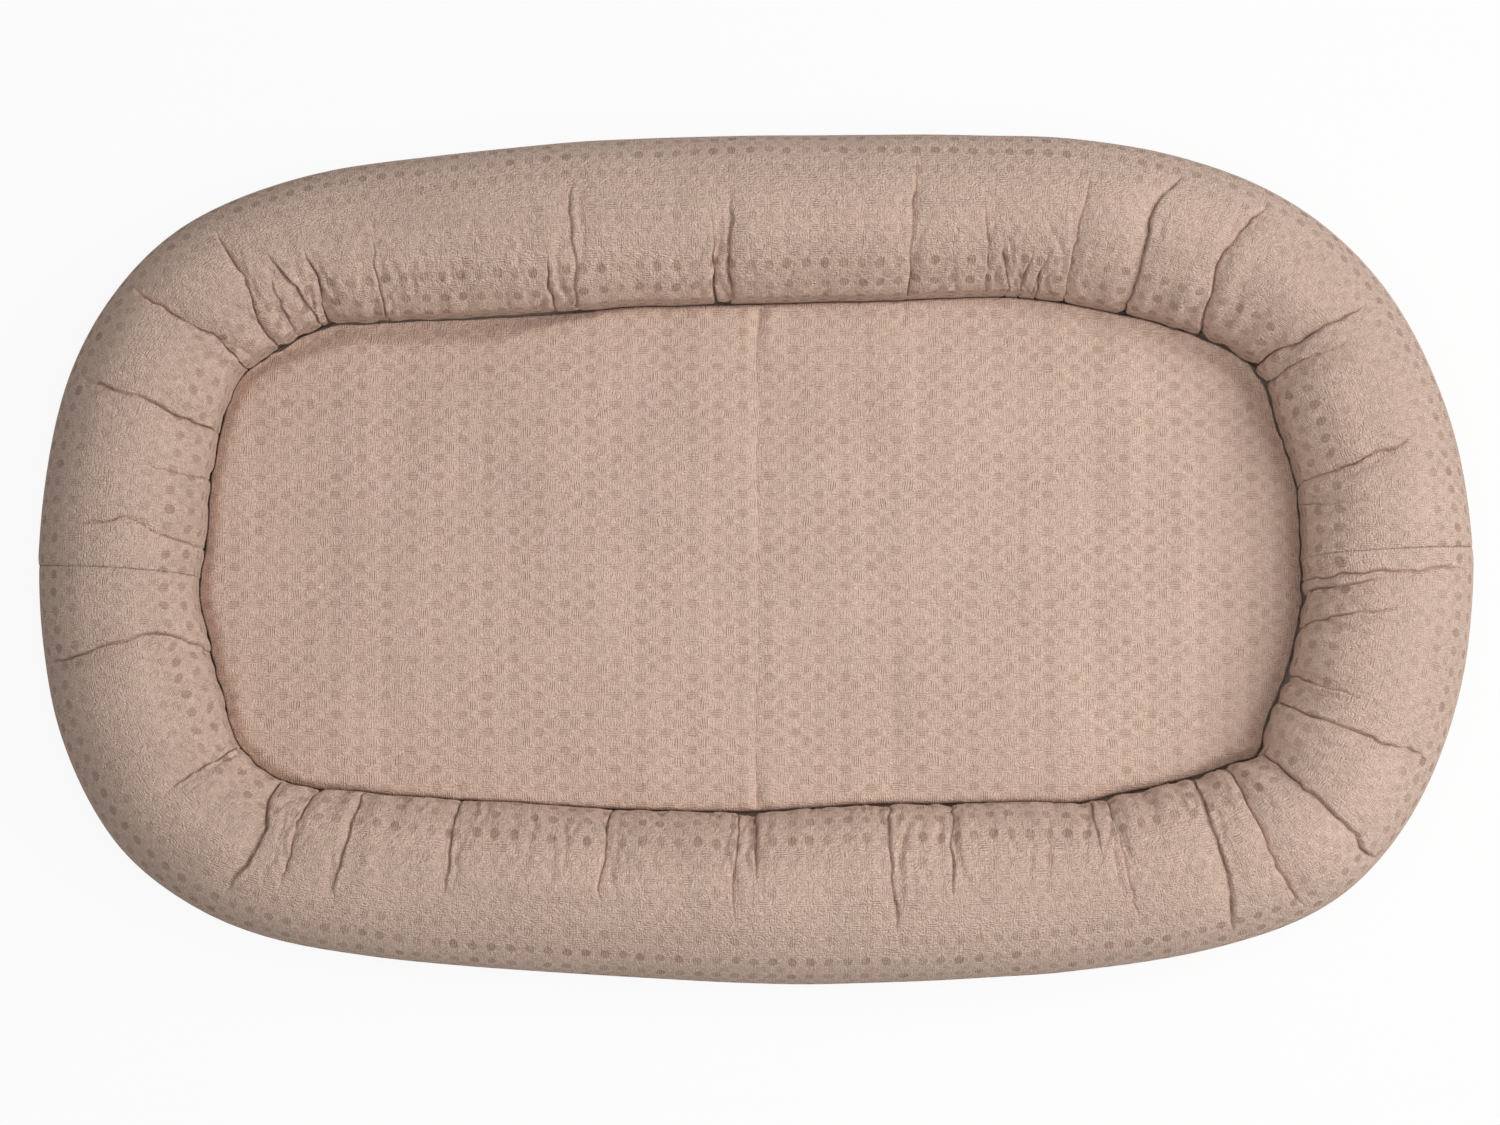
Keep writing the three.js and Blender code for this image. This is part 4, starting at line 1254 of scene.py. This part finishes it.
def stitch_rows(name, rows, height, hex_colour):
    copies = []
    for start, end in np.array(rows):
        count = int(np.linalg.norm(end - start) / stitch_step)
        for number in range(count):
            copy = one_stitch.copy()
            copy.data = one_stitch.data.copy()
            copy.rotation_euler.z = math.atan2(end[1] - start[1], end[0] - start[0])
            copy.location = (*(start + (end - start) * (number + 0.5) / count), height)
            bpy.context.scene.collection.objects.link(copy)
            copies.append(copy)
    seam = join(copies, name)
    settle_in_mesh(seam)
    bpy.ops.object.shade_smooth()
    # Twisted thread: its plies show as fine slanting bands
    thread, shader = new_material("polyester_sewing_thread_" + name, Roughness=0.6)
    place = add_node(thread, "TexCoord", out="Object")
    ply = add_node(thread, "TexWave", {"Vector": place, "Scale": 900.0, "Distortion": 1.0},
                   bands_direction="DIAGONAL")
    feed(shader.inputs["Base Color"], toned(thread, hex_colour, ply, (0.8, 1.05)))
    seam.data.materials.append(thread)
    return seam


zip_rows = [((-slot_stitch_end, side * slot_stitch_row), (slot_stitch_end, side * slot_stitch_row))
            for side in (1, -1)]
zip_rows += [((end * slot_stitch_end, -slot_stitch_row), (end * slot_stitch_end, slot_stitch_row))
             for end in (1, -1)]
zip_stitches = stitch_rows("zip_topstitching", zip_rows, base_height - zip_stitch_sink, "dccbbd")
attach(zip_stitches, "nest")


# Care label
# A strip of white polyester satin with folded ends, sewn flat to the underside and left bare.
label_low, label_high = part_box("care_label")
label_fold = (3.6 * mm, 4.4 * mm)
label_ply = 0.12 * mm
label_waves = 0.06 * mm
label_thickness = 0.2 * mm
label_stitch_inset = 2 * mm
label_stitch_lift = 0.03 * mm


def label_points(columns=42, rows=32):
    x, y = np.meshgrid(np.linspace(label_low.x, label_high.x, columns),
                       np.linspace(label_low.y, label_high.y, rows), indexing="ij")
    from_end = np.minimum(x - label_low.x, label_high.x - x)
    folded = 1 - smooth_step(*label_fold, from_end)
    waves = rumple(x, y, 12 * mm, 12 * mm, 91) * label_waves
    return np.stack([x, y, label_high.z - label_ply - label_ply * folded + waves], axis=-1)


# Satin: the threads float long one way, so it has a silky shine with fine lines
def satin(name, hex_colour):
    material, shader = new_material(name, Roughness=0.42, Sheen_Weight=0.3)
    place = add_node(material, "TexCoord", out="Object")
    threads = add_node(material, "VectorMath", (place, (300, 2600, 1)), operation="MULTIPLY")
    floats = add_node(material, "TexNoise", {"Vector": threads, "Scale": 1.0, "Detail": 1.0})
    colour = toned(material, hex_colour, floats, (0.9, 1.04))
    colour_and_bump(material, shader, colour, floats, 0.08 * mm, 0.6)
    return material


label = grid_mesh("care_label_strip", label_points()[::-1], closed=False)
give_thickness(label, label_thickness)
label.data.materials.append(satin("polyester_satin_ribbon", "f2efe9"))
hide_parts("care_label")
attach(label, "nest")
left, right = label_low.x + label_stitch_inset, label_high.x - label_stitch_inset
near, far = label_low.y + label_stitch_inset, label_high.y - label_stitch_inset
corners = [(left, near), (right, near), (right, far), (left, far)]
label_stitches = stitch_rows("care_label_stitching", list(zip(corners, corners[1:] + corners[:1])),
                             label_low.z + label_stitch_lift, "e0dad0")
bpy.data.objects.remove(one_stitch)
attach(label_stitches, "nest")


# Mattress core
# A slab of open-cell foam, cut to the oval with softened edges. It gives the pad its form: crowned a little
# in the middle, round at its edge, and lower there where the pad has slipped from the ring.
mattress_low, mattress_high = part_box("mattress_cover_top")
core_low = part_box("mattress_core")[0]
flap_low, flap_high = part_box("mattress_flap_foot")
mattress_clearance = 0.35 * mm
mattress_fabric = 1.2 * mm
shoulder_rise = 11 * mm
usual_roll = 1.7 * mm
roll_share = 0.16
# Where the edge falls away from the ring: pixels on the photograph, how wide the fall is in millimetres
# and what share of the pad's upper half it takes
edge_falls_px = [
    ((200, 600), 9, 0.5), ((205, 520), 7, 0.4), ((222, 410), 8, 0.5), ((245, 358), 12, 0.8),
    ((300, 345), 18, 0.95), ((347, 330), 22, 0.95), ((427, 318), 20, 0.95), ((483, 313), 16, 0.95),
    ((540, 309), 9, 0.8), ((620, 303), 3, 0.2), ((900, 296), 3, 0.1), ((1010, 291), 8, 0.2),
    ((1125, 310), 18, 0.25), ((1199, 331), 19, 0.35), ((1256, 360), 20, 0.85), ((1276, 410), 14, 0.85),
    ((1299, 480), 12, 0.8), ((1304, 560), 12, 0.8), ((1300, 630), 11, 0.75), ((1264, 759), 11, 0.7),
    ((1180, 779), 5, 0.25), ((1000, 801), 3, 0.1), ((427, 797), 3, 0.1), ((282, 783), 6, 0.4),
    ((232, 745), 8, 0.4),
]
fall_smoothing = 10 * mm
fall_width = round_the_ring([(run_of_px(px), width * mm) for px, width, _ in edge_falls_px], fall_smoothing)
fall_cut = round_the_ring([(run_of_px(px), cut) for px, _, cut in edge_falls_px], fall_smoothing)
core_setback = 4 * mm
core_sink = 2.5 * mm
core_stations = 300
core_edge = 14 * mm
core_edge_rise = 7 * mm
core_under_shares = (0.02, 0.3, 0.6, 0.85, 0.97)
core_edge_turns = np.radians((0, 20, 40, 60, 80))
core_shares = (0.01, 0.04, 0.08, 0.12, 0.16, 0.2, 0.24, 0.3, 0.4, 0.55, 0.7, 0.85, 0.98)


def pad_reach(run):
    return half_width(run) + inner_shift(run) + mattress_clearance


# A point of the pad's upper side: share is 0 at the edge seam and 1 in the middle
def pad_point(run, share, setback=0.0, sink=0.0):
    roll = np.clip(share / roll_share, 0, 1) * math.pi / 2
    rolled = usual_roll * (1 - np.cos(roll)) ** 1.3
    edge = ring_point(run, -(pad_reach(run) + setback + rolled))
    nx, ny = ring_normal(run)
    shrink = 1 - np.clip((share - roll_share) / (1 - roll_share), 0, 1) ** 1.25
    crown = mattress_high.z - mattress_low.z - shoulder_rise
    rise = (shoulder_rise + crown * (1 - shrink ** 2.2)) * np.sin(roll) ** 0.6
    from_edge = rolled + (1 - shrink) * np.abs(edge[..., 0] * nx + edge[..., 1] * ny)
    rise = rise * (1 - fall_cut(run) * (1 - smooth_step(0, 1, from_edge / fall_width(run))))
    return np.stack([edge[..., 0] * shrink, edge[..., 1] * shrink, mattress_low.z + rise - sink], axis=-1)


# Rings under the pad: each row is drawn in from the pad's edge, shrunk towards the middle, at one height
def pad_rows(profile, stations):
    runs = np.arange(stations) / stations * ring_run
    return np.stack([ring_point(runs, -(pad_reach(runs) + inset), z) * (shrink, shrink, 1)
                     for inset, shrink, z in profile])


# Cut foam: open cells 0.6 mm across, drawn at 1.4 mm, with painted shade in the hollow of each cell
def open_cell_foam(name, hex_colour):
    material, shader = new_material(name, Roughness=0.9)
    place = add_node(material, "TexCoord", out="Object")
    cells = add_node(material, "TexVoronoi", {"Vector": place, "Scale": 700.0}, feature="F1")
    # Painted shade: the colour darkens towards the middle of each cell, where the bump sinks it
    colour = toned(material, hex_colour, cells, (0.72, 1.03), (0.0, 0.8))
    colour_and_bump(material, shader, colour, cells, 0.4 * mm, 0.8)
    return material


core_under = [(core_setback + core_edge, share, core_low.z) for share in core_under_shares]
for turn in core_edge_turns:
    core_under.append((core_setback + core_edge * (1 - math.sin(turn)), 1.0,
                       core_low.z + core_edge_rise * (1 - math.cos(turn))))
share, run = np.meshgrid(core_shares, np.arange(core_stations) / core_stations * ring_run, indexing="ij")
core = grid_mesh("mattress_core_foam", np.concatenate([pad_rows(core_under, core_stations),
                                                       pad_point(run, share, core_setback, core_sink)]))
close_holes(core)
core.data.materials.append(open_cell_foam("polyurethane_foam_open_cell", "f0e6c8"))
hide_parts("mattress_core")
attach(core, "mattress")


# Mattress flaps
# The underside of the mattress cover: two shallow trays of the same cotton that overlap in the middle, so
# that the core can be taken out. The head flap lies inside the foot flap.
flap_overlap = 90 * mm
flap_edge = 14 * mm
flap_stations = 420
flap_turns = np.linspace(0, 90, 8)
flap_ripple = 0.2 * mm
flap_thickness_share = 0.9
flap_depths = {"foot": 0, "head": mattress_fabric + 0.3 * mm}


def shape_mesh(piece, step):
    shaping = bmesh.new()
    shaping.from_mesh(piece.data)
    step(shaping)
    bmesh.ops.recalc_face_normals(shaping, faces=shaping.faces[:])
    shaping.to_mesh(piece.data)
    shaping.free()


def flap_piece(name, side, depth):
    flat_height = flap_low.z + depth
    edge = [(depth + flap_edge * (1 - math.cos(turn)), 1.0,
             flap_high.z - (flap_high.z - flat_height) * math.sin(turn)) for turn in np.radians(flap_turns)]
    inside = [(depth + flap_edge, share, flat_height) for share in np.linspace(1, 0, 26)[1:-1]]
    rows = pad_rows(edge + inside, flap_stations)
    flat = rows[len(edge):]
    flat[..., 2] += rumple(flat[..., 0], flat[..., 1], 50 * mm, 40 * mm, 71) * flap_ripple
    piece = grid_mesh(name, rows)

    def close_and_cut(shaping):
        middle_edges = [edge for edge in shaping.edges if edge.is_boundary
                        and all(v.co.z < flap_high.z - 1 * mm for v in edge.verts)]
        bmesh.ops.holes_fill(shaping, edges=middle_edges, sides=0)
        bmesh.ops.bisect_plane(shaping, geom=shaping.verts[:] + shaping.edges[:] + shaping.faces[:],
                               plane_co=(-side * flap_overlap / 2, 0, 0), plane_no=(side, 0, 0),
                               clear_inner=True)

    shape_mesh(piece, close_and_cut)
    corners = np.empty(len(piece.data.loops), dtype=np.int32)
    piece.data.loops.foreach_get("vertex_index", corners)
    places = np.empty(len(piece.data.vertices) * 3, dtype=np.float32)
    piece.data.vertices.foreach_get("co", places)
    cloth = piece.data.uv_layers.new(name="cloth")
    cloth.data.foreach_set("uv", places.reshape(-1, 3)[corners][:, :2].ravel())
    paint_dots(piece, 0.7, 0.3)
    give_thickness(piece, mattress_fabric * flap_thickness_share)
    piece.data.materials.append(cotton)
    return piece


mattress_x, mattress_y = inside_outline(1 + mattress_clearance / (ring_width / 2))
for side, end_name in ((-1, "foot"), (1, "head")):
    flap = flap_piece("mattress_flap_" + end_name + "_cloth", side, flap_depths[end_name])
    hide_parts("mattress_flap_" + end_name)
    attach(flap, "mattress")


# Mattress cover, top
# The same cotton as the ring's, cut to the oval and filled out by the foam core. It keeps a crease across
# the middle from having been folded for shipping.
mattress_columns = 640
mattress_rings = 72
fold_px = 757
short_fold_px = 903
fold_ends_px = ((fold_px, 298), (fold_px, 812), (short_fold_px, 295))
fold_depth = 2.8 * mm
fold_width = 2.4 * mm
fold_waver = 1.2 * mm
lip_off_fold = 7 * mm
lip_width = 4 * mm
broad_unevenness = 0.9 * mm
fine_unevenness = 0.3 * mm
unevenness_from = (0.14, 0.2)


def fold_across(x, y):
    across = np.abs(y) / mattress_y.max()
    total = np.zeros_like(x)
    for at_px, strength in ((fold_px, 0.26 + 0.74 * smooth_step(0.72, 0.97, across)),
                            (short_fold_px, 0.4 * smooth_step(0.8, 0.97, across) * (y > 0))):
        waver = fold_waver * rumple(y, np.zeros_like(y), 30 * mm, 30 * mm, 75)
        away = np.abs(x - ((at_px - photo_centre_px[0]) * metres_per_px + waver))
        lip = 0.35 * np.exp(-((away - lip_off_fold) / lip_width) ** 2)
        total += strength * (lip - np.exp(-away / fold_width))
    return fold_depth * total


# Columns stand close together at the ends of the folds
beside_fold = np.arange(-14, 15) * 0.7 * mm
fold_runs = [run_of_px(px) + beside_fold for px in fold_ends_px]
runs = np.concatenate([np.arange(mattress_columns) / mattress_columns * ring_run] + fold_runs)
runs = np.unique(np.round(runs, 5))
share, run = np.meshgrid(np.linspace(0, 1, mattress_rings + 1)[:-1], runs, indexing="ij")
pad = pad_point(run, share)
x, y = pad[..., 0], pad[..., 1]
uneven = broad_unevenness * rumple(x, y, 70 * mm, 60 * mm, 12)
uneven += fine_unevenness * rumple(x, y, 20 * mm, 90 * mm, 14)
pad[..., 2] += smooth_step(*unevenness_from, share) * (fold_across(x, y) + uneven)
mattress_top = grid_mesh("mattress_cover_top_cloth", pad)
lay_weave(mattress_top, x, y)


def close_middle(shaping):
    shaping.verts.ensure_lookup_table()
    bmesh.ops.contextual_create(shaping, geom=shaping.verts[-len(runs):])


shape_mesh(mattress_top, close_middle)
paint_dots(mattress_top, 0.5, 0.3)
give_thickness(mattress_top, mattress_fabric)
mattress_top.data.materials.append(cotton)
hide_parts("mattress_cover_top")
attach(mattress_top, "mattress")


# Floor
# A plain white floor. What the camera, a gloss or a clear part sees of it is nearly pure white, and the
# lounger's soft shadow stays on it.
floor_size = 12
seen_white_share = 0.92
bpy.ops.mesh.primitive_plane_add(size=floor_size, location=(0, 0, 0))
floor = bpy.context.object
floor.name = "floor"


def seen_directly(material):
    path = add_node(material, "LightPath").node.outputs
    seen = path["Is Camera Ray"]
    for other in ("Is Glossy Ray", "Is Transmission Ray"):
        seen = add_node(material, "Math", (seen, path[other]), operation="MAXIMUM")
    return seen


floor_paint, floor_shader = new_material("matt_white_floor", Roughness=0.95, Base_Color=linear("e9e8e6"))
white = add_node(floor_paint, "Emission", {"Color": (1, 1, 1, 1), "Strength": 1.0})
share = add_node(floor_paint, "Math", (seen_directly(floor_paint), seen_white_share), operation="MULTIPLY")
mixed = add_node(floor_paint, "MixShader", (share, floor_shader.outputs[0], white))
feed(floor_paint.node_tree.nodes["Material Output"].inputs["Surface"], mixed)
floor.data.materials.append(floor_paint)


# Light: one large soft lamp from the right, a weaker one overhead, and an even white sky
sky_brightness = 0.26
for name, size, power, place, target in (
        ("key_softbox", 1.4, 38, (2.0, 0.15, 1.8), (0.1, 0, 0)),
        ("overhead_softbox", 1.0, 9.5, (0.2, -0.08, 1.5), (0.2, -0.05, 0))):
    lamp = bpy.data.lights.new(name, "AREA")
    lamp.shape = "SQUARE"
    lamp.size = size
    lamp.energy = power
    holder = bpy.data.objects.new(name, lamp)
    bpy.context.scene.collection.objects.link(holder)
    holder.location = place
    holder.rotation_euler = (Vector(target) - Vector(place)).to_track_quat("-Z", "Y").to_euler()
sky = bpy.data.worlds.new("studio")
sky.use_nodes = True
sky_light = sky.node_tree.nodes["Background"]
feed(sky_light.inputs["Color"], (1, 1, 1, 1))
sky_strength = add_node(sky, "MapRange", {0: seen_directly(sky), 3: sky_brightness, 4: 1.0})
feed(sky_light.inputs["Strength"], sky_strength)
bpy.context.scene.world = sky
bpy.context.scene.view_settings.view_transform = "Standard"


# Camera: nearly straight above, a little towards the front, with a long lens
camera_tilt = math.radians(86)
camera_distance = 2.6
photo_width_px = 1500
photo_height_px = 1125
sensor_in_mm = 36
target_height = 45 * mm
aim = Vector(((photo_width_px / 2 - photo_centre_px[0]) * metres_per_px,
              (photo_centre_px[1] - photo_height_px / 2) * metres_per_px, target_height))
camera = bpy.data.cameras.new("camera")
camera.sensor_width = sensor_in_mm
camera.lens = sensor_in_mm * camera_distance / (photo_width_px * metres_per_px)
viewer = bpy.data.objects.new("camera", camera)
bpy.context.scene.collection.objects.link(viewer)
viewer.location = aim + Vector((0, -math.cos(camera_tilt), math.sin(camera_tilt))) * camera_distance
viewer.rotation_euler = (math.radians(90) - camera_tilt, 0, 0)
bpy.context.scene.camera = viewer
